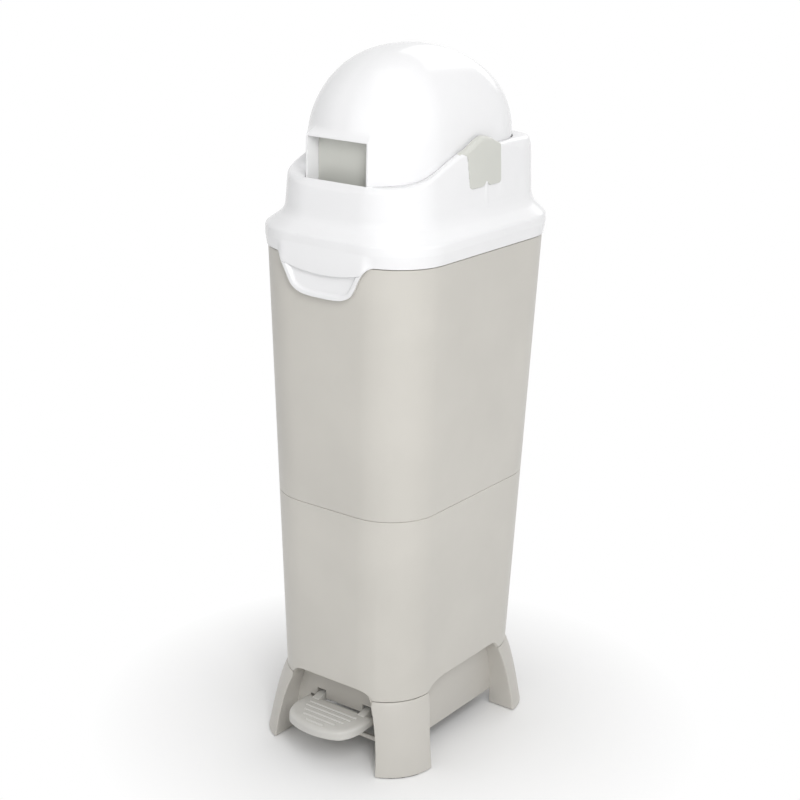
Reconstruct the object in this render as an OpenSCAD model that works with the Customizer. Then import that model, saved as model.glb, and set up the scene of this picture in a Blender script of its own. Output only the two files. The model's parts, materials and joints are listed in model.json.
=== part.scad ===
// Nappy bin with a pedal, a domed lid and a hinged head that lifts for the bag.
// Millimetres. The origin is on the floor under the middle, the front faces -Y and +Z is up.

/* [Body] */
// Width of the body at its shoulder, under the head
body_top_w = 189.8; // [180:0.2:200]
// Depth of the body at its shoulder
body_top_d = 260.2; // [250:0.2:270]
// Width of the body at its lower edge
body_bottom_w = 165; // [158:0.5:172]
// Depth of the body at its lower edge
body_bottom_d = 230.8; // [224:0.2:238]
// Radius of the body's upright corners
body_corner = 53; // [45:1:58]
// Height of the body's lower edge at its corners
body_bottom_z = 74; // [72:0.5:76]
// Height of the seam between the lower and the upper body shell
seam_z = 268; // [200:1:330]
// Height of the shoulder that the head's skirt closes on
shoulder_z = 514; // [480:1:545]
// Wall of the body shells
body_wall = 2.4; // [1.8:0.1:3]
// How far the rim above the shoulder is stepped in
shoulder_step = 1.6; // [1.2:0.1:2.4]
// Height of the rim above the shoulder
spigot_h = 9; // [7:0.5:12]
// Depth of the lap at the seam
lap_h = 12; // [8:1:20]
// Thickness of the floor of the lower shell
floor_t = 2.4; // [2:0.1:4]

/* [Base] */
// How far each leg stands out sideways at the floor
leg_flare_w = 17; // [10:0.5:20]
// How far each leg stands out forwards and back at the floor
leg_flare_d = 13; // [8:0.5:18]
// Wall of the legs
leg_wall = 3; // [2.4:0.1:4]
// Height of the top of the arches between the legs
arch_top_z = 84; // [80:0.5:86]
// Half width of the front arch at the floor
arch_front_foot = 64; // [58:1:70]
// Half width of the front arch at its shoulder
arch_front_shoulder = 50; // [47:1:54]
// Half width of the side arch at the floor
arch_side_foot = 88; // [80:1:94]
// Half width of the side arch at its shoulder
arch_side_shoulder = 60; // [54:1:66]
// Width of the mechanism box between the legs
box_w = 136; // [128:1:142]
// Depth of the mechanism box
box_d = 184; // [176:1:190]
// Height of the lower edge of the mechanism box
box_bottom_z = 18; // [12:1:20]
// Wall of the mechanism box
box_wall = 3; // [2.4:0.1:4]
// Half width of the window that the pedal comes out of
window_half = 43.5; // [43.5:0.5:48]
// Height of the lower edge of that window
window_bottom_z = 22.5; // [20:0.5:24]
// Height of the upper edge of that window between the pedal's arms
window_mid_z = 45; // [44:0.5:48]
// Height of the notches in that edge that the pedal's arms pass through
window_top_z = 54; // [53:0.5:60]
// Height of the rubber foot pads
pad_h = 5; // [3:0.5:10]
// How far the foot pads hold the legs off the floor
pad_proud = 0.8; // [0.4:0.1:2]

/* [Pedal] */
// Width of the pedal plate
pedal_w = 84; // [76:1:86]
// Gap between the mechanism box and the back of the pedal plate
pedal_gap = 5.5; // [5:0.5:10]
// Height of the top of the pedal plate
pedal_top_z = 42; // [40:0.5:44]
// Depth of the pedal plate's edge
pedal_edge = 7.5; // [5:0.5:8]
// Thickness of the pedal's plate and edges
pedal_wall = 2.4; // [2:0.1:3]
// Number of grip ribs across the pedal
pedal_ribs = 6; // [4:1:8]
// Height of the grip ribs
pedal_rib_h = 1; // [0.6:0.1:1.5]
// How far behind the front wall of the box the pedal's pin lies
pivot_back = 75; // [70:1:82]
// Height of the pedal's pin
pivot_z = 48; // [46:0.5:50]
// Radius of the pedal's pin
pivot_r = 3; // [2.5:0.1:4]
// Spacing of the two pedal arms
arm_spacing = 58; // [50:1:62]
// Width of each pedal arm
arm_w = 6; // [5:0.5:8]
// Height of the pedal arms
arm_h = 8; // [7:0.5:9]

/* [Rods] */
// Distance of the push rods behind the middle of the bin
rod_y = 98; // [95:0.5:99]
// Radius of the push rods
rod_r = 3; // [2.5:0.1:3.2]
// Width of the rod channel inside the body
channel_w = 22; // [18:1:30]
// Wall of the rod channel
channel_wall = 1.6; // [1.2:0.1:2.4]
// Length of the return spring
spring_h = 46; // [40:1:60]
// Wire of the return spring
spring_wire = 1.4; // [1:0.1:1.8]

/* [Head] */
// How far the head's skirt stands out from the shoulder
skirt_proud = 1.1; // [0.8:0.1:2]
// How far the head's rim stands out from the shoulder
rim_proud = 2.9; // [2.2:0.1:5]
// Height of the widest part of the head above its lower edge
rim_h = 11; // [8:0.5:14]
// Height of the sloping shelf above the rim
shelf_h = 22; // [16:0.5:26]
// Width of the shelf between the rim and the sides of the neck
shelf_in = 15.8; // [12:0.2:18]
// Width of the shelf in front of the neck and behind it
shelf_end = 12.5; // [11:0.2:16]
// Radius of the neck's rear corners at its foot
neck_corner = 43; // [38:1:46]
// Radius of the neck's front corners at its foot
neck_front_corner = 52; // [46:1:55]
// How far the neck leans in by its top
neck_lean = 2.5; // [1:0.1:4]
// Height of the neck at the front, up to the lid
neck_front_h = 35.5; // [32:0.5:37]
// How much higher the neck is at the sides and back
neck_rise = 26.5; // [24:0.5:28]
// How far the neck swells up over each side cover
hump_h = 9; // [5:0.5:10]
// Half length of that swelling
hump_half = 34; // [28:1:40]
// Wall of the neck
neck_wall = 3.2; // [2.8:0.1:4]
// Width of the ledge beside the lid
ledge_w = 8; // [7:0.2:9]
// Width of the ledge in front of the lid
ledge_front_w = 6.5; // [6.2:0.1:9]
// Radius of the opening's rear corners round the lid
opening_corner = 62; // [52:1:66]
// Radius of the opening's front corners round the lid
opening_front_corner = 67; // [60:1:69]
// How far the ledge falls towards its outer edge at the sides
ledge_fall = 1.6; // [1:0.1:3]
// How much further it falls in front
ledge_front_fall = 5.8; // [3:0.2:6.5]
// How much further it falls at the back
ledge_back_fall = 7; // [4:0.2:8]
// Depth of the lid's seat below the ledge
seat_depth = 6; // [5:0.2:7]
// Width of the lid's seat
seat_w = 4.2; // [3.6:0.1:5]
// Thickness of the lid's seat
seat_t = 2.2; // [1.8:0.1:3]
// Thickness of the rubber gasket under the lid
gasket_t = 1.4; // [1:0.1:1.6]

/* [Pull tab] */
// Half width of the pull tab where it leaves the skirt
tab_top_half = 57; // [54:1:62]
// Half width of the pull tab at its lower edge
tab_bottom_half = 25; // [18:1:30]
// Height of the pull tab below the skirt
tab_h = 37; // [30:1:42]
// How far the tab stands out from the body
tab_proud = 6; // [5.6:0.1:7]
// Width of the lip round the finger pocket
tab_lip = 6.5; // [5:0.5:8]
// Height of the finger pocket
pocket_h = 19; // [14:1:22]

/* [Lid] */
// Height of the top of the lid
lid_top_z = 700; // [680:1:720]
// Height at which the lid starts to close in
lid_spring_z = 616; // [615:0.5:625]
// How far the top of the dome lies in front of its middle
cap_forward = 11; // [6:1:13]
// How full the dome's shoulders are: 1 is an ellipse, and less is fuller
cap_fullness = 0.95; // [0.9:0.01:1]
// How far the nose round the grip pocket stands in front of the lid's middle
nose_reach = 113; // [111:0.5:114.5]
// Half width of the nose's front
nose_half = 35.5; // [34:0.5:38]
// Slope of the nose's flanks
nose_slope = 53.4; // [50:0.2:56]
// Wall of the lid
lid_wall = 2.2; // [1.8:0.1:3]
// Running gap between the lid and the ledge
lid_gap = 1; // [0.8:0.1:1.4]
// Width of the grip pocket at the lid's surface
grip_w = 68; // [60:0.5:69]
// Width of the grip pocket at its floor
grip_floor_w = 66; // [56:0.5:68]
// Depth of the grip pocket
grip_depth = 17; // [12:0.5:18]
// Height of the grip pocket above the lid's lower edge
grip_h = 42; // [36:0.5:43]
// Thickness of the grip plate
plate_t = 2; // [1.4:0.1:3]

/* [Side covers] */
// Distance of the middle of the side covers behind the middle of the bin
cover_y = 10; // [4:1:14]
// Width of the side covers
cover_w = 52; // [44:1:56]
// Height of the lower edge of the side covers above the shelf
cover_foot_h = 25; // [20:0.5:30]
// Thickness of the side covers
cover_t = 1.8; // [1.4:0.1:2]
// Height of the notch in the lower edge
cover_notch = 5; // [3:0.5:7]

/* [Hinges] */
// Distance of the head's hinge pin behind the shoulder
head_pin_back = 11.4; // [10.5:0.1:14]
// Depth of the head's hinge pin below the shoulder
head_pin_drop = 7; // [6.5:0.1:9]
// Radius of the head's hinge barrels
head_barrel_r = 6; // [5:0.1:6.5]
// Radius of the head's hinge pin
head_pin_r = 2.5; // [2:0.1:3]
// Half length of the head's hinge
head_hinge_half = 34; // [28:1:44]
// Distance of the lid's hinge pin behind the neck
lid_pin_back = 5; // [4.5:0.1:6]
// Height of the lid's hinge pin above the ledge
lid_pin_up = 3.5; // [3.3:0.1:4.5]
// Radius of the lid's hinge barrels
lid_barrel_r = 5; // [4:0.1:5.4]
// Radius of the lid's hinge pin
lid_pin_r = 2; // [1.5:0.1:2.5]
// Half length of the lid's hinge
lid_hinge_half = 26; // [22:1:28]

/* [Chute] */
// Width of the chute's throat
throat_w = 100; // [90:1:108]
// Depth of the chute's throat
throat_d = 124; // [110:1:126]
// Corner radius of the throat
throat_corner = 24; // [16:1:26]
// Wall of the chute
chute_wall = 2; // [1.6:0.1:2.4]
// Height of the throat
throat_h = 26; // [20:1:28]
// Height of the funnel above the throat
funnel_h = 20; // [16:1:22]
// Thickness of the chute's flange
flange_t = 3; // [2.4:0.1:4]
// Thickness of the odour flap
flap_t = 2.4; // [1.8:0.1:3]
// Thickness of the rubber lip on the flap
flap_lip_t = 2; // [1.2:0.1:2.2]
// Radius of the flap's pin
flap_pin_r = 1.5; // [1.2:0.1:2]

/* [Fasteners and fits] */
// Radius of the screws' shanks
screw_r = 1.75; // [1.4:0.05:2]
// Radius of the screws' heads
screw_head_r = 3.5; // [3:0.1:4]
// Height of the screws' heads
screw_head_h = 2.4; // [1.8:0.1:3]
// Clearance of a pin in its bore
pin_fit = 0.06; // [0.04:0.01:0.09]
// Gap between pieces that slide past each other
slide_gap = 0.4; // [0.3:0.05:0.5]
// Gap between pieces that are fitted together
seat_gap = 0.1; // [0.05:0.05:0.2]

/* [Hidden] */
$fn = 40;

// Colours
STONE = "#cfccc4";
STONE_DARK = "#bdbab2";
WHITE = "#f6f6f5";
GREY = "#c6c6bb";
STEEL = "#9aa0a6";
RUBBER = "#4a4a4a";

// Steps along a straight side, round a corner and along an end of a ring
arc_steps = 7;
end_steps = 2;
head_steps = 8;
bend_steps = 5;
// How far a cutting shape runs past what it cuts
past = 2;

// Heights worked out from the driving sizes
floor_z = arch_top_z + 2.5;
rim_top_z = shoulder_z + spigot_h;
skirt_z = shoulder_z + 1;
rim_z = skirt_z + rim_h;
neck_z = rim_z + shelf_h;
neck_front_z = neck_z + neck_front_h;
ledge_back_z = neck_front_z + neck_rise;

// Half sizes of the shoulder, the head's rim and the neck
shoulder_hw = body_top_w / 2;
shoulder_hd = body_top_d / 2;
neck_hw = shoulder_hw + rim_proud - shelf_in;
neck_hd = shoulder_hd + rim_proud - shelf_end;
top_hw = neck_hw - neck_lean;
top_hd = neck_hd - neck_lean;
top_corner = neck_corner - neck_lean;
top_front_corner = neck_front_corner - neck_lean;
opening_hw = top_hw - ledge_w;
opening_hd = top_hd - ledge_front_w;

// The box that holds the pedal's mechanism, and its tail round the lever's end
box_hw = box_w / 2;
box_hd = box_d / 2;
tail_hw = 14;
tail_y = rod_y + 11;
pivot_y = -box_hd + pivot_back;
arm_x = arm_spacing / 2;

// The hinges
head_pin_y = shoulder_hd + head_pin_back;
head_pin_z = shoulder_z - head_pin_drop;
head_knuckle_half = head_hinge_half * 0.58;
lid_pin_y = top_hd + lid_pin_back;
lid_pin_z = ledge_back_z + lid_pin_up;
lid_knuckle_half = lid_hinge_half * 0.52;
rear_reach = head_pin_y + head_barrel_r;

// ---------- Rings and lofted shells ----------

// A quarter of a rounded rectangle, from [w, 0] to [0, d]
function quarter(w, d, r, side) = concat(
    [for (i = [0 : side - 1]) [w, (d - r) * i / side]],
    [for (i = [0 : arc_steps - 1]) let (a = 90 * i / arc_steps)
        [w - r + r * cos(a), d - r + r * sin(a)]],
    [for (i = [0 : end_steps]) [(w - r) * (1 - i / end_steps), d]]);

// A rounded rectangle with half sizes w and d, anticlockwise from [w, 0].
// Its rear corners have radius r and its front corners radius f.
function outline(w, d, r, side = 1, f = 0) =
    let (q = quarter(w, d, r, side), g = f > 0 ? quarter(w, d, f, side) : q, n = len(q) - 1) concat(
        [for (i = [0 : n - 1]) q[i]],
        [for (i = [n : -1 : 1]) [-q[i][0], q[i][1]]],
        [for (i = [0 : n - 1]) -g[i]],
        [for (i = [n : -1 : 1]) [g[i][0], -g[i][1]]]);

function ring(w, d, r, z, side = 1, f = 0) = [for (p = outline(w, d, r, side, f)) [p[0], p[1], z]];

// A closed surface through rings of equal count: a tube wall, or a solid with both ends capped.
// The caps start on a rounded corner, so that no fan triangle lies flat along a straight side.
module loft(rings, tube = false) {
    n = len(rings[0]);
    m = len(rings);
    start = max(0, n / 4 - arc_steps - end_steps + 3);
    points = [for (r = rings) each r];
    last = tube ? m - 1 : m - 2;
    sides = [for (i = [0 : last]) for (j = [0 : n - 1])
        let (k = (i + 1) % m, l = (j + 1) % n)
        each [[i * n + j, k * n + j, k * n + l], [i * n + j, k * n + l, i * n + l]]];
    bottom = [for (j = [0 : n - 1]) (j + start) % n];
    top = [for (j = [n - 1 : -1 : 0]) (m - 1) * n + (j + start) % n];
    polyhedron(points, tube ? sides : concat(sides, [bottom, top]));
}

// A flat outline drawn in [y, z] and pushed along X, or drawn in [x, z] and pushed along Y
module along_x(x0, x1) translate([x0, 0, 0]) rotate([90, 0, 90]) linear_extrude(x1 - x0) children();
module along_y(y0, y1) translate([0, y1, 0]) rotate([90, 0, 0]) linear_extrude(y1 - y0) children();

// A round bar along X or Z
module rod_x(x0, x1, y, z, r) translate([x0, y, z]) rotate([0, 90, 0]) cylinder(r = r, h = x1 - x0);
module rod_z(x, y, z0, z1, r) translate([x, y, z0]) cylinder(r = r, h = z1 - z0);

module box(x0, x1, y0, y1, z0, z1) translate([x0, y0, z0]) cube([x1 - x0, y1 - y0, z1 - z0]);

// A quadratic curve from a to c that leans towards b
function bend(a, b, c) = [for (i = [0 : bend_steps]) let (t = i / bend_steps)
    a * (1 - t) * (1 - t) + b * 2 * t * (1 - t) + c * t * t];

// A whole outline from its right half, without repeated points
function whole(half) =
    let (all = concat(half, [for (i = [len(half) - 1 : -1 : 0]) [-half[i][0], half[i][1]]]))
    [for (i = [0 : len(all) - 1]) if (i == 0 || norm(all[i] - all[i - 1]) > 0.001) all[i]];

// A round wire wound about Z
module coil(r, wire, z0, z1, turns, around = 12, sides = 6) {
    steps = turns * around;
    loft([for (i = [0 : steps]) let (a = 360 * i / around, z = z0 + (z1 - z0) * i / steps)
        [for (k = [0 : sides - 1]) let (b = -360 * k / sides)
            [(r + wire / 2 * cos(b)) * cos(a), (r + wire / 2 * cos(b)) * sin(a),
                z + wire / 2 * sin(b)]]]);
}

// A screw that points up, with the underside of its head at z
module screw_up(x, y, z, length) {
    rod_z(x, y, z - screw_head_h, z, screw_head_r);
    rod_z(x, y, z, z + length, screw_r);
}

// ---------- Body ----------

function body_hw(z) = (body_bottom_w
    + (body_top_w - body_bottom_w) * (z - body_bottom_z) / (shoulder_z - body_bottom_z)) / 2;
function body_hd(z) = (body_bottom_d
    + (body_top_d - body_bottom_d) * (z - body_bottom_z) / (shoulder_z - body_bottom_z)) / 2;
function body_ring(z, inset, side = 1) =
    ring(body_hw(z) - inset, body_hd(z) - inset, body_corner - inset, z, side);

module body_block(z0, z1, inset) loft([body_ring(z0, inset), body_ring(z1, inset)]);

// One half of an arch between two legs, from its middle to its foot
function half_arch(flat, shoulder, shoulder_z, foot, grow) = concat(
    bend([flat, arch_top_z + grow], [shoulder + grow, arch_top_z + grow],
        [shoulder + grow, shoulder_z]),
    bend([shoulder + grow, shoulder_z], [foot - (foot - shoulder) * 0.45 + grow, shoulder_z * 0.62],
        [foot + grow, 0]),
    [[foot + grow, -past]]);

module arch_shape(flat, shoulder, shoulder_z, foot, grow)
    polygon(whole(half_arch(flat, shoulder, shoulder_z, foot, grow)));

arch_shoulder_z = arch_top_z - 14;
reach = 200;

// The four arches, outside the mechanism box
module arches(grow) {
    for (s = [0, 1]) mirror([s, 0, 0]) along_x(box_hw, reach)
        arch_shape(arch_side_shoulder - 15, arch_side_shoulder, arch_shoulder_z, arch_side_foot, grow);
    for (s = [0, 1]) mirror([0, s, 0]) along_y(box_hd, reach)
        arch_shape(arch_front_shoulder - 20, arch_front_shoulder, arch_shoulder_z, arch_front_foot,
            grow);
}

// ---------- Base ----------

// The outside of the legs: flush with the body above, flared at the floor
function leg_ring(z, inset) = let (k = pow(max(0, 1 - z / body_bottom_z), 1.15)) ring(
    body_hw(body_bottom_z) + leg_flare_w * k - inset,
    body_hd(body_bottom_z) + leg_flare_d * k - inset, body_corner - inset, z);

spigot_in = body_wall + seat_gap;
spigot_t = 2.4;
plate_under_z = floor_z - 3;

module leg_block() {
    loft(concat([leg_ring(pad_proud, 1.2), leg_ring(pad_proud + 1.5, 0)],
        [for (k = [0.15, 0.3, 0.5, 0.75]) leg_ring(body_bottom_z * k, 0)],
        [leg_ring(body_bottom_z, 0)]));
    body_block(body_bottom_z - past, floor_z, spigot_in);
}

// The hollow inside the legs, under the plates that the body stands on
module leg_hollows() difference() {
    loft([leg_ring(-past, leg_wall), leg_ring(body_bottom_z * 0.3, leg_wall),
        leg_ring(body_bottom_z * 0.5, leg_wall), leg_ring(body_bottom_z * 0.8, leg_wall),
        leg_ring(body_bottom_z - 4, spigot_in + spigot_t),
        body_ring(plate_under_z, spigot_in + spigot_t)]);
    box(-box_hw, box_hw, -box_hd, box_hd, -2 * past, floor_z + past);
    arches(leg_wall);
}

// Where the screws go up into the body: one over each leg
screw_x = arch_front_shoulder + leg_wall + screw_head_r + 1.5;
screw_y = box_hd + screw_head_r + 1.5;
screw_len = 14;
module at_corners(x, y) for (i = [-1, 1]) for (j = [-1, 1]) translate([i * x, j * y, 0]) children();

tongue_w = arm_w + 2;
notch_gap = 1.5;
lug_t = 4;
lug_x = arm_x + arm_w / 2 + 5;

// The two brackets that carry the pedal's pin, and the rib between them
module pin_brackets() {
    for (s = [-1, 1]) along_x(s * (lug_x + lug_t / 2) - lug_t / 2, s * (lug_x + lug_t / 2) + lug_t / 2)
        polygon([[-box_hd + 1, window_top_z + 5], [-box_hd + 1, floor_z],
            [pivot_y + 27, floor_z], [pivot_y + 27, pivot_z + 14], [pivot_y + 9, pivot_z - 8],
            [pivot_y - 9, pivot_z - 8], [pivot_y - 20, window_top_z + 5]]);
    box(-lug_x - lug_t, lug_x + lug_t, pivot_y + 24, pivot_y + 27, pivot_z + 16, floor_z);
}

module base() color(STONE) difference() {
    union() {
        difference() {
            leg_block();
            arches(0);
            leg_hollows();
            box(-box_hw + box_wall, box_hw - box_wall, -box_hd + box_wall, box_hd - box_wall,
                -past, floor_z + past);
            box(-box_hw, box_hw, -box_hd, box_hd, -past, box_bottom_z);
        }
        box(-tail_hw, tail_hw, box_hd - 1, tail_y, box_bottom_z, floor_z);
        pin_brackets();
    }
    box(-tail_hw + box_wall, tail_hw - box_wall, box_hd - box_wall - past, tail_y - box_wall,
        box_bottom_z - past, floor_z + past);
    along_y(-box_hd - past, -box_hd + box_wall + past) {
        translate([-window_half, window_bottom_z])
            square([2 * window_half, window_mid_z - window_bottom_z]);
        for (s = [-1, 1]) translate([s * arm_x - tongue_w / 2 - notch_gap, window_bottom_z])
            square([tongue_w + 2 * notch_gap, window_top_z - window_bottom_z]);
    }
    rod_x(-lug_x - 2 * lug_t, lug_x + 2 * lug_t, pivot_y, pivot_z, pivot_r + pin_fit);
    at_corners(screw_x, screw_y) rod_z(0, 0, plate_under_z - past, floor_z + past, screw_r + seat_gap);
}

module foot_pads() color(RUBBER) difference() {
    loft([leg_ring(0, leg_wall + seat_gap), leg_ring(pad_h, leg_wall + seat_gap)]);
    box(-box_hw, box_hw, -box_hd, box_hd, -past, pad_h + past);
    arches(leg_wall + seat_gap);
}

module base_screws() color(STEEL)
    for (i = [-1, 1]) for (j = [-1, 1]) screw_up(i * screw_x, j * screw_y, plate_under_z, screw_len);

// ---------- Body shells ----------

boss_r = 5;
rod_hole_r = rod_r + 2;

module lower_body_shell() color(STONE) difference() {
    union() {
        difference() {
            body_block(body_bottom_z, seam_z, 0);
            body_block(floor_z + floor_t, seam_z + past, body_wall);
            body_block(body_bottom_z - past, floor_z, body_wall);
            arches(0);
        }
        at_corners(screw_x, screw_y) rod_z(0, 0, floor_z, plate_under_z + screw_len + 2, boss_r);
    }
    at_corners(screw_x, screw_y)
        rod_z(0, 0, floor_z - past, plate_under_z + screw_len + 0.5, screw_r + seat_gap);
    rod_z(0, rod_y, floor_z - past, floor_z + floor_t + past, rod_hole_r);
}

lap_in = body_wall + seat_gap;
lap_t = 2;

module upper_body_shell() color(STONE) difference() {
    union() {
        loft([body_ring(seam_z, 0), body_ring(shoulder_z, 0), body_ring(shoulder_z, shoulder_step),
            body_ring(rim_top_z, shoulder_step), body_ring(rim_top_z, shoulder_step + body_wall),
            body_ring(shoulder_z - 4, shoulder_step + body_wall), body_ring(shoulder_z - 8, body_wall),
            body_ring(seam_z + 8, body_wall), body_ring(seam_z + 4, lap_in + lap_t),
            body_ring(seam_z - lap_h, lap_in + lap_t), body_ring(seam_z - lap_h, lap_in),
            body_ring(seam_z, lap_in)], true);
        along_x(-head_knuckle_half, head_knuckle_half) polygon([
            [body_hd(shoulder_z - 14) - 1, shoulder_z - 16],
            [body_hd(shoulder_z - 2) - 1, shoulder_z - 1.5], [head_pin_y, shoulder_z - 1.5],
            [head_pin_y + 2, head_pin_z - head_barrel_r + 0.5]]);
        rod_x(-head_knuckle_half, head_knuckle_half, head_pin_y, head_pin_z, head_barrel_r);
    }
    rod_x(-head_hinge_half, head_hinge_half, head_pin_y, head_pin_z, head_pin_r + pin_fit);
}

module head_hinge_pin() color(STEEL)
    rod_x(-head_hinge_half, head_hinge_half, head_pin_y, head_pin_z, head_pin_r);

// A flat ring on the body's rim that the bag is folded over, with a lip inside
bag_ring_w = 9;
bag_ring_t = 2.4;
bag_lip_h = 10;
module bag_ring() color(GREY) {
    out = shoulder_step + 0.6;
    in = shoulder_step + body_wall + bag_ring_w;
    loft([body_ring(rim_top_z, out), body_ring(rim_top_z + bag_ring_t, out),
        body_ring(rim_top_z + bag_ring_t, in), body_ring(rim_top_z - bag_lip_h, in),
        body_ring(rim_top_z - bag_lip_h, in - 2), body_ring(rim_top_z, in - 2)], true);
}

// ---------- Pedal ----------

pedal_back_y = -box_hd - pedal_gap;
pedal_front_y = -rear_reach;

// The plate's outline: straight back and sides, angled corners and a bowed front
function pedal_half(inset) = let (
    hw = pedal_w / 2 - inset, back = pedal_back_y - inset, front = pedal_front_y + inset,
    length = back - front) concat(
    [[hw - 3, back], [hw, back - 3], [hw, back - length * 0.52]],
    bend([hw - length * 0.13, back - length * 0.82], [hw * 0.5, front], [0, front]));

module pedal_outline(inset) polygon(whole(pedal_half(inset)));

tongue_top_z = pivot_z + 2;
foot_z = pivot_z - 7;
joint_y = pivot_y - 41;
pedal_screw_y = joint_y - 12;

// The plate with its edge, ribs and the two tongues that reach the lever
module pedal_pad() color(STONE) difference() {
    union() {
        difference() {
            translate([0, 0, pedal_top_z - pedal_edge]) linear_extrude(pedal_edge) pedal_outline(0);
            translate([0, 0, pedal_top_z - pedal_edge - past])
                linear_extrude(pedal_edge + past - pedal_wall) pedal_outline(pedal_wall);
        }
        intersection() {
            translate([0, 0, pedal_top_z - 1]) linear_extrude(pedal_rib_h + 1) pedal_outline(5);
            for (i = [0 : pedal_ribs - 1]) let (
                step = (pedal_back_y - pedal_front_y - 16) / pedal_ribs,
                y = pedal_back_y - 10 - i * step)
                box(-pedal_w, pedal_w, y - 2.2, y, pedal_top_z - 1, pedal_top_z + pedal_rib_h);
        }
        for (s = [-1, 1]) along_x(s * arm_x - tongue_w / 2, s * arm_x + tongue_w / 2)
            polygon([[joint_y - 0.3, foot_z], [joint_y - 0.3, tongue_top_z], [-box_hd, tongue_top_z],
                [pedal_back_y - 9, pedal_top_z], [pedal_back_y - 9, pedal_top_z - pedal_wall],
                [pedal_back_y, pedal_top_z - pedal_wall], [pedal_back_y + 3, foot_z]]);
    }
    for (s = [-1, 1]) rod_z(s * arm_x, pedal_screw_y, foot_z - past, foot_z + 7.5, screw_r + seat_gap);
}

// Two arms from the tongues to the pin, joined behind it to the bar that lifts the rod
foot_t = 5;
lever_nose_r = 4;
lever_top_z = pivot_z + arm_h / 2;
module pedal_lever() color(STONE_DARK) difference() {
    union() {
        for (s = [-1, 1]) along_x(s * arm_x - arm_w / 2, s * arm_x + arm_w / 2)
            polygon([[joint_y - 22, foot_z - foot_t], [joint_y - 22, foot_z], [joint_y, foot_z],
                [joint_y, lever_top_z], [pivot_y + 18, lever_top_z],
                [pivot_y + 18, pivot_z - arm_h / 2], [joint_y + 14, pivot_z - arm_h / 2],
                [joint_y + 8, foot_z - foot_t]]);
        for (s = [-1, 1]) rod_x(s * arm_x - arm_w / 2, s * arm_x + arm_w / 2, pivot_y, pivot_z,
            pivot_r + 4);
        box(-arm_x - arm_w / 2, arm_x + arm_w / 2, pivot_y + 9, pivot_y + 18,
            pivot_z - arm_h / 2, lever_top_z);
        box(-7, 7, pivot_y + 10, rod_y, pivot_z - arm_h / 2, lever_top_z - 1.2);
        rod_x(-7, 7, rod_y, lever_top_z - lever_nose_r, lever_nose_r);
    }
    rod_x(-arm_x - arm_w, arm_x + arm_w, pivot_y, pivot_z, pivot_r + pin_fit);
    for (s = [-1, 1]) rod_z(s * arm_x, pedal_screw_y, foot_z - foot_t - past, foot_z + past,
        screw_r + seat_gap);
}

module pedal_screws() color(STEEL)
    for (s = [-1, 1]) screw_up(s * arm_x, pedal_screw_y, foot_z - foot_t, foot_t + 7);

clip_t = 1.2;
pin_half = lug_x + lug_t + 2 * clip_t;
module pedal_pin() color(STEEL) rod_x(-pin_half, pin_half, pivot_y, pivot_z, pivot_r);

module pin_clips() color(STEEL) for (s = [-1, 1])
    translate([s * (lug_x + lug_t + clip_t / 2 + seat_gap), pivot_y, pivot_z]) rotate([0, 90, 0])
        difference() {
            cylinder(r = pivot_r + 2.2, h = clip_t, center = true);
            cylinder(r = pivot_r + pin_fit, h = clip_t + past, center = true);
        }

// ---------- Push rods ----------

shoe_t = 4;
part_z = shoulder_z - 7;
guide_t = 3;
guide_high_z = part_z - 38;
guide_low_z = floor_z + 55;
ring_z = guide_high_z - spring_h - slide_gap;

module rod_channel() color(STONE_DARK) difference() {
    intersection() {
        box(-channel_w / 2, channel_w / 2, rod_y - 8, reach, floor_z + floor_t, part_z);
        body_block(floor_z, part_z + past, lap_in + lap_t + seat_gap);
    }
    box(-channel_w / 2 + channel_wall, channel_w / 2 - channel_wall, rod_y - 8 + channel_wall, reach,
        floor_z, part_z + past);
}

module rod_guides() color(GREY) for (z = [guide_low_z, guide_high_z]) difference() {
    box(-channel_w / 2 + channel_wall + seat_gap, channel_w / 2 - channel_wall - seat_gap,
        rod_y - 8 + channel_wall + seat_gap, rod_y + 8, z, z + guide_t);
    rod_z(0, rod_y, z - past, z + guide_t + past, rod_r + pin_fit);
}

module return_spring() color(STEEL) translate([0, rod_y, 0])
    coil(rod_r + spring_wire / 2 + 1, spring_wire, ring_z + spring_wire / 2 + slide_gap / 2,
        guide_high_z - spring_wire / 2 - slide_gap / 4, 9);

module lower_push_rod() color(STEEL) {
    rod_z(0, rod_y, lever_top_z + shoe_t, part_z - 0.3, rod_r);
    rod_z(0, rod_y, ring_z - 4, ring_z, rod_r + 3);
}

module rod_shoe() color(GREY) rod_z(0, rod_y, lever_top_z + 0.3, lever_top_z + shoe_t, rod_r + 4);

heel_z = lid_pin_z - 11.5;
heel_play = 1;
module upper_push_rod() color(STEEL) {
    rod_z(0, rod_y, part_z + 0.3, heel_z - heel_play - rod_r, rod_r);
    translate([0, rod_y, heel_z - heel_play - rod_r]) sphere(r = rod_r);
}

// ---------- Head ----------

// Height of the ledge over each point of the neck: low in front, high behind, swollen at the sides
function hump(p) = abs(p[1] - cover_y) < hump_half && abs(p[0]) > top_hw / 2
    ? hump_h * pow(cos(90 * (p[1] - cover_y) / hump_half), 2) : 0;
function ease(t) = let (k = min(1, max(0, t))) k * k * (3 - 2 * k);
neck_line = outline(top_hw, top_hd, top_corner, head_steps, top_front_corner);
ledge = [for (p = neck_line) neck_front_z + neck_rise * ease((p[1] + top_hd - 6) / (top_hd - 13))
    + hump(p)];
falls = [for (p = neck_line) ledge_fall + (p[1] < 0
    ? ledge_front_fall * max(0, 1 - pow(p[0] / (top_hw * 0.73), 2))
    : ledge_back_fall * ease((p[1] - top_hd * 0.3) / (top_hd * 0.35)))];
head_angles = [for (p = neck_line) atan2(p[1], p[0])];

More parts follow.
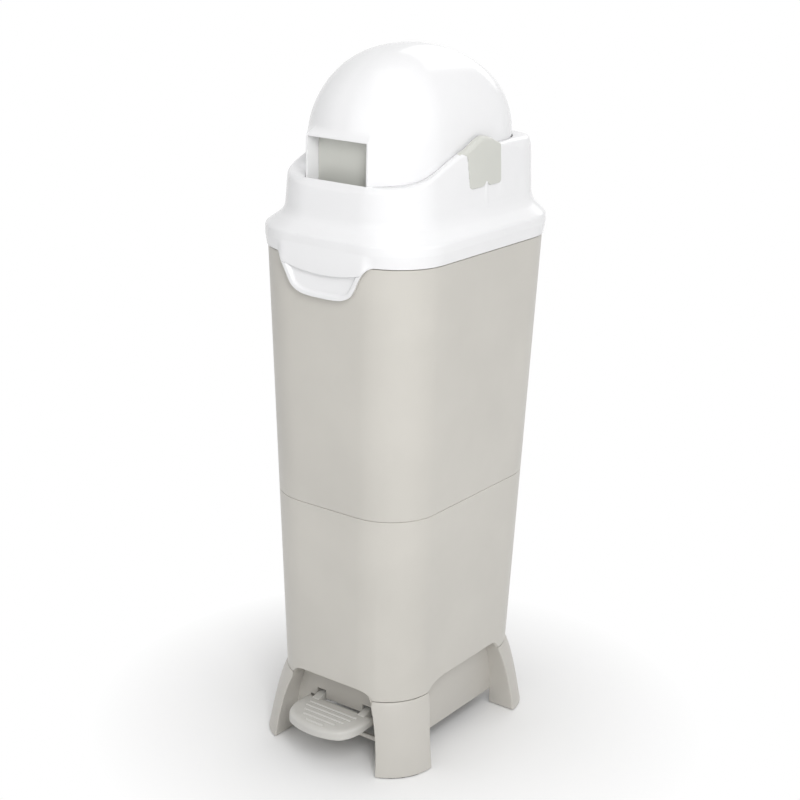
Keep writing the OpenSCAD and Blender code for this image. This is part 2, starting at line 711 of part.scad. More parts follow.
// How far out a ray from the middle meets a rounded rectangle; u is its direction, folded to +X +Y
function reach_of(w, d, r, u) = let (
    side = w * u[1] / max(u[0], 0.001), end = d * u[0] / max(u[1], 0.001),
    c = [w - r, d - r], along = c * u)
    side <= d - r ? norm([w, side]) : end <= w - r ? norm([end, d])
        : along + sqrt(max(0, r * r - c * c + along * along));

// Points that lie on the same rays for every ring of the head: rear corners r, front corners f
function around(w, d, r, f) = [for (a = head_angles)
    reach_of(w, d, a < 0 ? f : r, [abs(cos(a)), abs(sin(a))]) * [cos(a), sin(a)]];

// Rings that follow the ledge: inset from the neck, or set out from the lid's opening. They lie dz
// above it, or sink by a share of its fall.
function at_ledge(o, dz, sink = 0) =
    [for (i = [0 : len(o) - 1]) [o[i][0], o[i][1], ledge[i] + dz - sink * falls[i]]];
function neck_ring(inset, dz, sink = 0) = at_ledge(around(top_hw - inset, top_hd - inset,
    top_corner - inset, top_front_corner - inset), dz, sink);
function opening_ring(out, dz) = at_ledge(nosed(opening_hw + out, opening_hd + out,
    opening_corner + out, opening_front_corner + out, nose_reach + lid_gap + out, 1), dz);

// A rounded rectangle with a flat nose in front that reaches to the given distance. The nose's
// flanks touch the rounded front corners, and by says how much of the nose there is.
function nosed(w, d, r, f, reach, by) = let (
    n = [sin(nose_slope), cos(nose_slope)],
    c = n * [nose_half, reach],
    touch = [w - f, d - f] + f * n)
    [for (a = head_angles) let (
        u = [abs(cos(a)), abs(sin(a))],
        plain = reach_of(w, d, a < 0 ? f : r, u),
        nose = a < 0 && u[0] * touch[1] < u[1] * touch[0] ? min(reach / u[1], c / (n * u)) : 0)
        (plain + max(0, nose - plain) * by) * [cos(a), sin(a)]];

// A ring of the head below the neck, inset from the rim. The shelf's width and the corners go over
// from the body's to the neck's.
function head_ring(inset, z) = let (k = inset / shelf_in, corner = body_corner + rim_proud)
    [for (p = around(shoulder_hw + rim_proud - inset, shoulder_hd + rim_proud - shelf_end * k,
        corner + (neck_corner - corner) * k, corner + (neck_front_corner - corner) * k))
        [p[0], p[1], z]];

// The sloping shelf from the rim to the neck, for the outside or, with a wall, the inside
function shelf(wall) = [for (p = bend([0, rim_z], [2.4, neck_z - 6.5], [shelf_in, neck_z]))
    head_ring(p[0] + wall, p[1] - wall * 0.7 * min(1, p[0] / 4))];

function reversed(list) = [for (i = [len(list) - 1 : -1 : 0]) list[i]];

skirt_in = rim_proud + shoulder_step - 1;
shelf_wall = 2.6;

// The rounded top of the neck, from its outer edge to the opening
ledge_top = [neck_ring(0, -1, 1), neck_ring(0.6, -0.4, 0.65), neck_ring(1.6, 0, 0.36),
    neck_ring(2.8, 0, 0.16), opening_ring(0.6, 0)];

module collar_shell() loft(concat(
    [head_ring(rim_proud - skirt_proud, skirt_z)],
    shelf(0),
    ledge_top,
    [opening_ring(0, -0.5), opening_ring(0, -seat_depth), opening_ring(-seat_w, -seat_depth),
        opening_ring(-seat_w, -seat_depth - seat_t),
        neck_ring(neck_wall, -seat_depth - seat_t, 1)],
    reversed(shelf(shelf_wall)),
    [head_ring(skirt_in, skirt_z)]), true);

// The pull tab, a layer that lies over the front of the body
function tab_half(inset) = concat(
    bend([tab_top_half - inset, skirt_z + 1], [tab_top_half - 11 - inset, skirt_z],
        [tab_top_half - 13 - inset, skirt_z - tab_h * 0.3]),
    bend([tab_top_half - 13 - inset, skirt_z - tab_h * 0.3],
        [tab_top_half - 19 - inset, skirt_z - tab_h + inset],
        [tab_bottom_half - inset, skirt_z - tab_h + inset]));

tab_gap = 0.7;
tab_floor = 1.1;

function layer_ring(z, out) = ring(body_hw(z) + out, body_hd(z) + out, body_corner + out, z);

module pull_tab() difference() {
    intersection() {
        along_y(-reach, -shoulder_hd / 2) union() {
            polygon(whole(tab_half(0)));
            translate([-tab_top_half, skirt_z]) square([2 * tab_top_half, rim_h * 0.6]);
        }
        loft([layer_ring(skirt_z - tab_h - past, tab_proud - 1), layer_ring(skirt_z - tab_h + 6, tab_proud),
            layer_ring(skirt_z - tab_h * 0.35, tab_proud - 1),
            layer_ring(skirt_z + rim_h, rim_proud - 0.2)]);
    }
    loft([layer_ring(skirt_z - tab_h - 2 * past, tab_gap), layer_ring(rim_z, tab_gap)]);
    difference() {
        along_y(-reach, -shoulder_hd / 2) intersection() {
            polygon(whole(tab_half(tab_lip)));
            translate([-tab_top_half, skirt_z - tab_h]) square([2 * tab_top_half, tab_lip + pocket_h]);
        }
        loft([layer_ring(skirt_z - tab_h - 2 * past, tab_gap + tab_floor),
            layer_ring(rim_z, tab_gap + tab_floor)]);
    }
}

// The side covers wrap from the neck's side over the ledge, up to a thin edge beside the lid
cover_gap = 1.6;
function cover_rings(deep, edge) = [neck_ring(deep, -1 - deep * 0.6, 1),
    neck_ring(0.6 + deep * 0.8, -0.4 - deep * 0.8, 0.65), neck_ring(1.6 + deep * 0.5, -deep, 0.36),
    neck_ring(2.8 + deep * 0.2, -deep, 0.16), opening_ring(edge, -deep)];

module cover_shape(grow) {
    foot = neck_z + cover_foot_h;
    half = cover_w / 2;
    polygon([
        [cover_y - half - grow, foot + 6], [cover_y - half + 2 - grow / 2, foot + 2 - grow],
        [cover_y - half + 6, foot - grow], [cover_y - 6 - grow, foot - grow],
        [cover_y, foot + cover_notch - grow], [cover_y + 6 + grow, foot - grow],
        [cover_y + half - 6, foot - grow], [cover_y + half - 2 + grow / 2, foot + 2 - grow],
        [cover_y + half + grow, foot + 6], [cover_y + half + grow, lid_top_z],
        [cover_y - half - 16 - grow, lid_top_z], [cover_y - half - 16 - grow, ledge_back_z - 6 - grow],
        [cover_y - half - 2 - grow, ledge_back_z - 12 - grow]]);
}

module side_cover() color(GREY) intersection() {
    along_x(top_hw / 2, reach) cover_shape(0);
    loft(concat([head_ring(shelf_in, neck_z)], cover_rings(0, cover_gap + seat_gap),
        reversed(cover_rings(cover_t, cover_gap + seat_gap)),
        [head_ring(shelf_in + cover_t, neck_z)]), true);
}

// What is cut out of the neck's right side to let a cover in flush
module cover_recess() {
    deep = cover_t + seat_gap;
    intersection() {
        along_x(top_hw / 2, reach) cover_shape(seat_gap);
        loft(concat([head_ring(shelf_in - 2 * past, neck_z), neck_ring(-2 * past, 3 * past),
            opening_ring(cover_gap, 3 * past)], reversed(cover_rings(deep, cover_gap)),
            [head_ring(shelf_in + deep, neck_z)]), true);
    }
}
module side_cover_left() mirror([1, 0, 0]) side_cover();
module side_cover_right() side_cover();

boss_in = 6;
function boss_at(half, corner) = half - corner + (corner - boss_in) * cos(45);
function boss_spot(corner) = [boss_at(neck_hw - neck_wall, corner - neck_wall),
    boss_at(neck_hd - neck_wall, corner - neck_wall)];
rear_boss = boss_spot(neck_corner);
front_boss = boss_spot(neck_front_corner);
module at_bosses() for (s = [-1, 1]) {
    translate([s * rear_boss[0], rear_boss[1], 0]) children();
    translate([s * front_boss[0], -front_boss[1], 0]) children();
}
flange_z = neck_z + 4;
boss_top_z = neck_front_z - seat_depth - seat_t - 1;

module collar() color(WHITE) difference() {
    union() {
        difference() {
            collar_shell();
            for (s = [0, 1]) mirror([s, 0, 0]) cover_recess();
        }
        pull_tab();
        at_bosses() rod_z(0, 0, flange_z + flange_t, boss_top_z, boss_in + 0.4);
        for (s = [0, 1]) mirror([s, 0, 0]) {
            along_x(head_knuckle_half + slide_gap, head_hinge_half) polygon([
                [shoulder_hd + 0.3, skirt_z + 1], [shoulder_hd + 0.3, rim_z - 1],
                [shoulder_hd + rim_proud + 1, rim_z], [head_pin_y + head_barrel_r * 0.7,
                head_pin_z + head_barrel_r * 0.7], [head_pin_y - head_barrel_r * 0.9, head_pin_z - 2]]);
            rod_x(head_knuckle_half + slide_gap, head_hinge_half, head_pin_y, head_pin_z, head_barrel_r);
            along_x(lid_knuckle_half + slide_gap, lid_hinge_half) polygon([
                [top_hd - 2, ledge_back_z - 14], [top_hd - 2, ledge_back_z - 0.5],
                [lid_pin_y - lid_barrel_r * 0.7, lid_pin_z + lid_barrel_r * 0.7],
                [lid_pin_y + lid_barrel_r * 0.9, lid_pin_z - 2]]);
            rod_x(lid_knuckle_half + slide_gap, lid_hinge_half, lid_pin_y, lid_pin_z, lid_barrel_r);
        }
    }
    rod_x(-head_hinge_half - past, head_hinge_half + past, head_pin_y, head_pin_z,
        head_pin_r + pin_fit);
    rod_x(-lid_hinge_half - past, lid_hinge_half + past, lid_pin_y, lid_pin_z, lid_pin_r + pin_fit);
    at_bosses() rod_z(0, 0, flange_z + flange_t - past, boss_top_z - 1.5, screw_r + seat_gap);
}

module lid_gasket() color(RUBBER) loft([
    opening_ring(-0.2, seat_gap - seat_depth), opening_ring(-0.2, gasket_t - seat_depth),
    opening_ring(0.2 - seat_w, gasket_t - seat_depth),
    opening_ring(0.2 - seat_w, seat_gap - seat_depth)], true);

module lid_hinge_pin() color(STEEL)
    rod_x(-lid_hinge_half, lid_hinge_half, lid_pin_y, lid_pin_z, lid_pin_r);

// ---------- Chute and odour flap ----------

flange_hw = neck_hw - neck_wall - 1.8;
flange_hd = neck_hd - neck_wall - 1.8;
flange_corner = neck_corner - neck_wall - 1.8;
flange_front = neck_front_corner - neck_wall - 1.8;
throat_hw = throat_w / 2;
throat_hd = throat_d / 2;
throat_top_z = flange_z + flange_t - funnel_h;
throat_bottom_z = throat_top_z - throat_h;
mouth_in = 7;
flap_pin_y = throat_hd + chute_wall + 4.5;
flap_top_z = throat_bottom_z - 0.3 - flap_lip_t;
flap_pin_z = flap_top_z - flap_t;
flap_knuckle_r = flap_pin_r + 1.7;
flap_lug_x = throat_hw - throat_corner - 6;
flap_knuckle_l = 10;

function flange_ring(inset, z) = ring(flange_hw - inset, flange_hd - inset,
    flange_corner - inset, z, 1, flange_front - inset);

module chute() color(WHITE) difference() {
    union() {
        loft([flange_ring(0, flange_z), flange_ring(0, flange_z + flange_t),
            flange_ring(mouth_in, flange_z + flange_t),
            ring(throat_hw, throat_hd, throat_corner, throat_top_z),
            ring(throat_hw, throat_hd, throat_corner, throat_bottom_z),
            ring(throat_hw + chute_wall, throat_hd + chute_wall, throat_corner + chute_wall,
                throat_bottom_z),
            ring(throat_hw + chute_wall, throat_hd + chute_wall, throat_corner + chute_wall,
                throat_top_z - 1),
            flange_ring(mouth_in - 1.5, flange_z)], true);
        rod_z(0, rod_y, flange_z - 11, flange_z + flange_t + 1, rod_r + 2.6);
        for (s = [0, 1]) mirror([s, 0, 0]) {
            along_x(flap_lug_x, flap_lug_x + 4) polygon([
                [throat_hd + 1.6, throat_bottom_z], [throat_hd + 0.5, throat_bottom_z],
                [throat_hd + 0.5, throat_bottom_z + 12],
                [throat_hd + chute_wall, throat_bottom_z + 12],
                [flap_pin_y + flap_knuckle_r, flap_pin_z],
                [flap_pin_y - flap_knuckle_r, flap_pin_z]]);
            rod_x(flap_lug_x, flap_lug_x + 4, flap_pin_y, flap_pin_z, flap_knuckle_r);
        }
    }
    rod_z(0, rod_y, flange_z - 11 - past, flange_z + flange_t + past, rod_r + pin_fit);
    at_bosses() {
        rod_z(0, 0, flange_z - past, flange_z + flange_t + past, screw_r + seat_gap);
        rod_z(0, 0, flange_z - screw_head_h - past, flange_z, screw_head_r + slide_gap);
    }
    rod_x(-flap_lug_x - 5, flap_lug_x + 5, flap_pin_y, flap_pin_z, flap_pin_r + pin_fit);
}

module chute_screws() color(STEEL)
    at_bosses() screw_up(0, 0, flange_z, boss_top_z - flange_z - 2);

module flap_pin() color(STEEL)
    rod_x(-flap_lug_x - 5, flap_lug_x + 5, flap_pin_y, flap_pin_z, flap_pin_r);

module flap_spring() color(STEEL) translate([-6, flap_pin_y, flap_pin_z]) rotate([0, 90, 0])
    coil(flap_pin_r + 0.7, 0.8, 0, 12, 8, 10, 5);

module odour_flap() color(WHITE) difference() {
    union() {
        difference() {
            loft([ring(throat_hw + 4, throat_hd + 2, throat_corner + 2, flap_top_z - flap_t),
                ring(throat_hw + 4, throat_hd + 2, throat_corner + 2, flap_top_z)]);
            box(-7.5, 7.5, throat_hd - 1, reach, flap_top_z - flap_t - past, flap_top_z + past);
        }
        for (s = [0, 1]) mirror([s, 0, 0]) {
            box(flap_lug_x - flap_knuckle_l, flap_lug_x - slide_gap, throat_hd - 6, flap_pin_y,
                flap_top_z - flap_t, flap_top_z);
            rod_x(flap_lug_x - flap_knuckle_l, flap_lug_x - slide_gap, flap_pin_y, flap_pin_z,
                flap_knuckle_r);
        }
    }
    rod_x(-flap_lug_x, flap_lug_x, flap_pin_y, flap_pin_z, flap_pin_r + pin_fit);
    for (s = [0, 1]) mirror([s, 0, 0])
        box(flap_lug_x - slide_gap, flap_lug_x + 4 + slide_gap, throat_hd - 4, reach,
            flap_top_z - flap_t - past, flap_top_z + past);
}

module flap_lip() color(RUBBER) loft([
    ring(throat_hw + chute_wall, throat_hd + chute_wall - 1, throat_corner, flap_top_z),
    ring(throat_hw + chute_wall, throat_hd + chute_wall - 1, throat_corner, flap_top_z + flap_lip_t),
    ring(throat_hw - 1, throat_hd - 1, throat_corner - 1, flap_top_z + flap_lip_t),
    ring(throat_hw - 1, throat_hd - 1, throat_corner - 1, flap_top_z)], true);

// ---------- Lid ----------

lid_drop = seat_depth - gasket_t - 0.3;
lid_hw = opening_hw - lid_gap;
lid_hd = opening_hd - lid_gap;
lid_corner = opening_corner - lid_gap;
lid_front_corner = opening_front_corner - lid_gap;
cap_steps = [4, 6, 10, 19, 29, 39, 49, 59, 69, 78, 85];

function lid_line(inset, by = 1) = nosed(lid_hw - inset, lid_hd - inset, lid_corner - inset,
    lid_front_corner - inset, nose_reach - inset, by);
function lid_ring(inset, z) = [for (p = lid_line(inset)) [p[0], p[1], z]];

// A section of the cap at angle a: the nose ends just above the grip pocket, and the rounded
// rectangle leans to an ellipse towards the top
function cap_ring(a, inset) = [for (p = lid_line(inset, 1 - ease((a - 4) / 6))) let (
    k = 1 / norm([p[0] / (lid_hw - inset), p[1] / (lid_hd - inset)]),
    s = pow(cos(a), cap_fullness) * (1 - 0.2 * sin(a) * (1 - k)))
    [p[0] * s, p[1] * s - cap_forward * pow(sin(a), 3),
        lid_spring_z + (lid_top_z - inset - lid_spring_z) * sin(a)]];
function edge_ring(inset) = at_ledge(lid_line(inset), -lid_drop);

// The dome as a solid, from a flat cut well below its edge
module dome_block() loft(concat([lid_ring(0, neck_z)], [lid_ring(0, lid_spring_z)],
    [for (a = cap_steps) cap_ring(a, 0)]));

module dome_shell() loft(concat(
    [for (a = reversed(cap_steps)) cap_ring(a, lid_wall)],
    [lid_ring(lid_wall, lid_spring_z), edge_ring(lid_wall), edge_ring(0),
        lid_ring(0, lid_spring_z)],
    [for (a = cap_steps) cap_ring(a, 0)]));

// What lies under the lid's edge, where the pocket's walls must stay clear of the seat
module under_edge() {
    high = 0.3 - lid_drop;
    low = neck_z - ledge_back_z - past;
    wide = grip_depth + lid_wall + 4;
    loft([at_ledge(lid_line(-past), low), at_ledge(lid_line(-past), high),
        at_ledge(lid_line(wide), high), at_ledge(lid_line(wide), low)], true);
}

grip_front_y = -nose_reach - past;
grip_floor_y = -nose_reach + grip_depth;
grip_low_z = neck_front_z - lid_drop;
grip_top_z = grip_low_z + grip_h;

// The grip pocket: wide at the surface, narrow at its floor, under a brow
module grip_space(grow, low) {
    slope = (grip_w - grip_floor_w) / 2 / grip_depth;
    front = grip_w / 2 + slope * past + grow;
    back = grip_floor_w / 2 + grow;
    high = grip_top_z + grow;
    polyhedron([
        [-front, grip_front_y, low], [front, grip_front_y, low],
        [back, grip_floor_y + grow, low], [-back, grip_floor_y + grow, low],
        [-front, grip_front_y, high + 0.5], [front, grip_front_y, high + 0.5],
        [back, grip_floor_y + grow, high - 0.5], [-back, grip_floor_y + grow, high - 0.5]],
        [[0, 1, 2, 3], [7, 6, 5, 4], [0, 4, 5, 1], [1, 5, 6, 2], [2, 6, 7, 3], [3, 7, 4, 0]]);
}

module dome_lid() color(WHITE) difference() {
    union() {
        dome_shell();
        difference() {
            intersection() {
                grip_space(lid_wall, neck_z);
                dome_block();
            }
            under_edge();
        }
        along_x(-lid_knuckle_half, lid_knuckle_half) polygon([
            [lid_hd - 1, ledge_back_z + 1], [lid_hd - 1, ledge_back_z + 9],
            [lid_pin_y, lid_pin_z + lid_barrel_r], [lid_pin_y, ledge_back_z + 1]]);
        rod_x(-lid_knuckle_half, lid_knuckle_half, lid_pin_y, lid_pin_z, lid_barrel_r);
        along_x(-7, 7) polygon([[rod_y - 8, heel_z], [rod_y - 8, heel_z + 3],
            [rod_y + 2, ledge_back_z + 2], [lid_hd - lid_wall + 0.5, ledge_back_z + 12],
            [lid_hd - 0.5, ledge_back_z + 12], [lid_hd - 0.5, ledge_back_z - lid_drop + 0.5],
            [opening_hd - seat_w - 0.8, ledge_back_z - lid_drop + 0.5],
            [opening_hd - seat_w - 0.8, heel_z]]);
    }
    grip_space(0, neck_z + 1);
    rod_x(-lid_hinge_half, lid_hinge_half, lid_pin_y, lid_pin_z, lid_pin_r + pin_fit);
}

// The plain plate on the floor of the grip pocket
plate_in = 0.5;
module grip_plate() color(GREY) {
    low = grip_low_z + 3;
    high = grip_top_z - 2;
    half = grip_floor_w / 2 - plate_in;
    box(-half, half, grip_floor_y - plate_t, grip_floor_y, low, high);
}

base();
foot_pads();
lower_body_shell();
upper_body_shell();
base_screws();
pedal_pin();
pin_clips();
rod_channel();
rod_guides();
return_spring();
bag_ring();
head_hinge_pin();
pedal_pad();
pedal_lever();
pedal_screws();
lower_push_rod();
rod_shoe();
collar();
side_cover_left();
side_cover_right();
lid_gasket();
chute();
chute_screws();
lid_hinge_pin();
flap_pin();
flap_spring();
upper_push_rod();
dome_lid();
grip_plate();
odour_flap();
flap_lip();
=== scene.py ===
"""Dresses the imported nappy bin: smooth moulded shells round the CAD frame, plastics, a studio."""

import json
import math

import bmesh
import bpy
import numpy as np
from mathutils import Matrix, Vector


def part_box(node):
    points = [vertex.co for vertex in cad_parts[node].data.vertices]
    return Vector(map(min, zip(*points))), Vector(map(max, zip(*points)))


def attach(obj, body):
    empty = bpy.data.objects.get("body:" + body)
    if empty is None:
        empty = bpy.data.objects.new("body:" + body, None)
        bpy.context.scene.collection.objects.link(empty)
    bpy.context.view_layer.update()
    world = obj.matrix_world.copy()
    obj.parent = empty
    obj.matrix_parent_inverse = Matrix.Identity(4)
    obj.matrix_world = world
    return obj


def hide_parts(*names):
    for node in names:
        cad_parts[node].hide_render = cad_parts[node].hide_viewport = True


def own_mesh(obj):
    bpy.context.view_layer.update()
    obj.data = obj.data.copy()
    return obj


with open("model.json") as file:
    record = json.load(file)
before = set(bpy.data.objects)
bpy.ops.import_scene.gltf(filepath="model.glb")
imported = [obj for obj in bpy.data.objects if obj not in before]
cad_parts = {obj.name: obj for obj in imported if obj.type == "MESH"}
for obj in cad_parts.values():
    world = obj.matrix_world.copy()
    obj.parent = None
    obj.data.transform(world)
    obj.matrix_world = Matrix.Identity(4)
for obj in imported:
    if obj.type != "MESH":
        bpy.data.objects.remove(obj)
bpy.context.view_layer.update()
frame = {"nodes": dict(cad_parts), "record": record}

MM = 0.001

# ---------- Sizes in millimetres ----------

# Body: half sizes at the foot and the shoulder; half the gap at the seam, and the joint inside it
FOOT_Z, SEAM_Z, SHOULDER_Z = 74.0, 268.0, 514.0
FOOT_HALF, SHOULDER_HALF = (82.5, 115.4), (94.9, 130.1)
BODY_CORNER, BODY_WALL = 53.0, 2.4
SHOULDER_STEP, SPIGOT_TOP_Z = 1.6, 523.0
SEAM_GAP, JOINT_IN, JOINT_DEEP = 0.15, 2.1, 12.0
FLOOR_Z = 86.5
# Points farther out than this lie on the bin's flanks
FLANK = 60.0

# Base: how far the legs swell out, how their flare dies away upwards, heights of their sections
LEG_FLARE, FLARE_SHARE, FLARE_POWER = (16.0, 13.0), 0.94, 0.68
LEG_LEVELS = (1.2, 2, 6, 12, 18, 24, 30, 36, 42, 48, 54, 60, 65, 68, 70, 71.5, 72.5, 73.2, 73.6)
ARCH_TOP_Z, ARCH_SHOULDER_Z = 84.0, 70.0
# Arches: half width of the flat top, at the shoulder and at the floor; at the sides they differ
# fore and aft
SIDE_ARCH = {-1: (28.0, 61.5, 73.0), 1: (48.0, 65.0, 76.5)}
FRONT_ARCH = (30.0, 50.0, 64.0)
# Mechanism box, its tail, the pedal's window with its notches, the pedal's arms and lugs
BOX_HALF, BOX_BOTTOM_Z, BOX_WALL = (68.0, 92.0), 18.0, 3.0
TAIL_HALF, TAIL_Y = 14.0, 109.0
WINDOW_HALF, WINDOW_Z, NOTCH_Z = 43.5, (22.5, 45.0), 54.0
ARM_X, ARM_HALF, NOTCH_HALF, LUG_X = 29.0, 4.0, 5.5, (35.5, 39.5)

# Pedal
PEDAL_HALF, PEDAL_WALL = 42.0, 2.4
PEDAL_BACK_Y, PEDAL_FRONT_Y = -95.5, -147.4
# The pedal's slightly crowned top and its lower edge as [y, z] from the front
PEDAL_TOP = ((-147.5, 44.6), (-143, 45.8), (-136, 46.8), (-118, 47.4), (-104, 47.2), (-95.5, 46.3))
PEDAL_FOOT = ((-147.5, 36.4), (-120, 37.6), (-95.5, 40.0))
# Ribs on the pedal as (y, half length), and their half width, height and depth sunk in
RIB_ROWS = ((-109.0, 30.0), (-116.5, 28.5), (-124.0, 25.0), (-131.5, 20.5), (-138.5, 11.0))
RIB_HALF, RIB_H, RIB_SUNK = 1.7, 1.4, 0.3
PIVOT, PIVOT_BORE = (-17.0, 48.0), 3.06

# Head: heights of skirt, rim and neck, how far skirt and rim stand proud of the body, and how far
# the shelf between rim and neck reaches in at the sides and the ends
SKIRT_Z, RIM_Z, NECK_Z = 515.0, 526.0, 548.0
SKIRT_PROUD, RIM_PROUD, RIM_BAND = 1.1, 2.9, 8.6
SHELF_IN, SHELF_END = 15.8, 12.5
SKIRT_WALL, RECESS = 3.2, 1.2
# Neck: corners behind and in front, lean, wall, height in front, rise to the back, and the humps
# over the side covers
NECK_REAR, NECK_FRONT, NECK_LEAN, NECK_WALL = 43.0, 52.0, 2.5, 3.2
NECK_FRONT_Z, NECK_RISE = 583.5, 26.5
COVER_Y, HUMP_H, HUMP_HALF = 10.0, 9.0, 34.0
# Ledge on the neck: how far it falls outwards, its width, the opening's corners, the gasket's seat
LEDGE_FALL, LEDGE_FRONT_FALL, LEDGE_BACK_FALL = 1.6, 5.8, 7.0
LEDGE_SIDE, LEDGE_END = 8.0, 6.5
OPENING_REAR, OPENING_FRONT = 62.0, 67.0
SEAT_DEPTH, SEAT_W, SEAT_T = 6.0, 4.2, 2.2
# The skirt's lower edge as [x, z], with the pull tab, the hood over its dish, and its lip
TAB_EDGE = np.array([(0, 479), (8, 479), (15, 479.3), (23, 480.3), (30, 483), (34, 486),
                     (37, 490.5), (40, 497), (43, 503), (46, 508), (50, 512.4), (54, 514.6),
                     (58, 515), (75, 515)])
TAB_END, TAB_BLEND = 57.0, 13.0
HOOD_Z, HOOD_BOW, HOOD_HALF = 501.0, 5.0, 42.0
LIP_PROUD, LIP_W, DISH_DEEP, DISH_RISE = 5.8, 3.2, 4.6, 3.0
# Side cover: its ends, its lower edge with a nick and rounded corners, and the ear's edge as [y, z]
COVER_FRONT_Y, COVER_BACK_Y, EAR_BACK_Y = -31.5, 36.0, -16.0
COVER_FOOT_Z, NICK_Y, NICK_H, NICK_W = 572.6, 11.5, 4.6, 3.2
FOOT_ROUND_Y, FOOT_ROUND_W, FOOT_ROUND_H = (-12.5, 32.5), 3.5, 3.0
EAR = ((-33, 609.5), (-31.5, 608), (-19.6, 603.5), (-16.1, 575.6))
COVER_LIFT, COVER_SUNK, COVER_ROUND = 0.3, 0.9, 0.6

# Lid: where its dome springs and ends, how far that leans forward, and the flat nose in front
LID_GAP, LID_DROP, LID_WALL = 1.0, 4.3, 2.2
SPRING_Z, LID_TOP_Z = 616.0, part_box("dome_lid")[1].z / MM
CAP_FORWARD, CAP_FULLNESS = 11.0, 0.95
NOSE_REACH, NOSE_HALF, NOSE_SLOPE = 113.0, 35.5, math.radians(53.4)
# Degrees up the cap to which the lid keeps the nose in front, and over which it then loses it
NOSE_KEPT, NOSE_LOST = 3.8, 6.5
# Heights of the lid's rings at the brow over the grip
BROW = (619.0, 619.8, 620.3, 620.7, 621.0, 621.3, 621.6, 622.0, 622.5, 623.1, 623.8, 624.6, 625.5,
        626.5, 627.6, 628.8, 630.0, 631.5, 633.5)
# Grip pocket and the plate in it
GRIP_HALF, GRIP_FLOOR_Y, GRIP_TOP_Z, GRIP_ROUND = 33.5, -96.0, 621.2, 1.6
PLATE_HALF, PLATE_Z, PLATE_CORNER, PLATE_T = 32.9, (577.4, 619.6), 1.5, 2.0

# Hinges: [y, z] of the pins, radius of barrels and bores, half lengths of the middle barrel and of
# the whole hinge
HEAD_PIN, HEAD_BARREL, HEAD_BORE, HEAD_HINGE = (141.5, 507.0), 6.0, 2.56, (19.72, 34.0)
LID_PIN, LID_BARREL, LID_BORE, LID_HINGE = (123.0, 613.5), 5.0, 2.06, (13.52, 26.0)
HINGE_GAP = 0.4

# Lower rod and its spring: the rod's place and travel, the wire's radius and the coil's turns
ROD_Y, ROD_TRAVEL = 98.0, 23.2
WIRE, TURNS = 0.7, 9

# Camera: place, azimuth from the front, height and roll in degrees, lens and sensor
CAMERA_AT, CAMERA_TURN, LENS, SENSOR = (926.3, -1283.1, 868.3), (35.98, 18.22, 1.32), 75.06, 36.0

# Floor in metres: its radius, how far it lies below the feet, and where it turns white
FLOOR_R, FLOOR_DROP, FLOOR_FADE = 3.0, 0.0002, (0.13, 0.32)
# Height in metres that the lamps aim at, and the strength of the light all round
AIM_Z, AMBIENT = 0.35, 0.51

NECK_HALF = (SHOULDER_HALF[0] + RIM_PROUD - SHELF_IN, SHOULDER_HALF[1] + RIM_PROUD - SHELF_END)
TOP_HALF = (NECK_HALF[0] - NECK_LEAN, NECK_HALF[1] - NECK_LEAN)
RIM_HALF = (SHOULDER_HALF[0] + RIM_PROUD, SHOULDER_HALF[1] + RIM_PROUD)
RIM_CORNER = BODY_CORNER + RIM_PROUD
OPENING_HALF = (TOP_HALF[0] - LEDGE_SIDE, TOP_HALF[1] - LEDGE_END)
LID_HALF = (OPENING_HALF[0] - LID_GAP, OPENING_HALF[1] - LID_GAP)
LEDGE_BACK_Z = NECK_FRONT_Z + NECK_RISE


# ---------- Outlines on common rays ----------

def ease(t):
    """Goes smoothly from 0 to 1."""
    t = np.clip(t, 0, 1)
    return t * t * (3 - 2 * t)


def reach(w, d, rear, front, a):
    """How far out the rays at angles a meet a rounded rectangle with half sizes w and d."""
    ux, uy = np.maximum(np.abs(np.cos(a)), 1e-6), np.maximum(np.abs(np.sin(a)), 1e-6)
    r = np.where(np.sin(a) < 0, front, rear)
    cx, cy = w - r, d - r
    along = cx * ux + cy * uy
    arc = along + np.sqrt(np.maximum(0, r * r - cx * cx - cy * cy + along * along))
    side, end = w * uy / ux, d * ux / uy
    return np.where(side <= cy, np.hypot(w, side), np.where(end <= cx, np.hypot(end, d), arc))


def nosed(w, d, rear, front, nose, by, a):
    """Distances along the rays to a rounded rectangle with a flat nose; by is its share."""
    plain = reach(w, d, rear, front, a)
    n = np.array([math.sin(NOSE_SLOPE), math.cos(NOSE_SLOPE)])
    c = n @ np.array([NOSE_HALF, nose])
    touch = np.array([w - front, d - front]) + front * n
    ux, uy = np.abs(np.cos(a)), np.maximum(np.abs(np.sin(a)), 1e-6)
    inside = (np.sin(a) < 0) & (ux * touch[1] < uy * touch[0])
    peak = np.where(inside, np.minimum(nose / uy, c / (n[0] * ux + n[1] * uy)), 0)
    return plain + np.maximum(0, peak - plain) * by


def body_half(z):
    """Half sizes of the tapered body at height z."""
    t = (np.minimum(z, SHOULDER_Z) - FOOT_Z) / (SHOULDER_Z - FOOT_Z)
    return tuple(f + (s - f) * t for f, s in zip(FOOT_HALF, SHOULDER_HALF))


def on_rays(rho, z, a):
    """Points at distances rho along the rays, at heights z."""
    return np.stack([rho * np.cos(a), rho * np.sin(a), z + 0 * a], -1)


def body_row(z, out, a):
    """A ring on the body at height z, set out by the given distance."""
    w, d = body_half(z)
    corner = BODY_CORNER + out
    return on_rays(reach(w + out, d + out, corner, corner, a), z, a)


def neck_edge(inset, a):
    """Distances to the neck's upper edge, inset."""
    return reach(TOP_HALF[0] - inset, TOP_HALF[1] - inset, NECK_REAR - NECK_LEAN - inset,
                 NECK_FRONT - NECK_LEAN - inset, a)


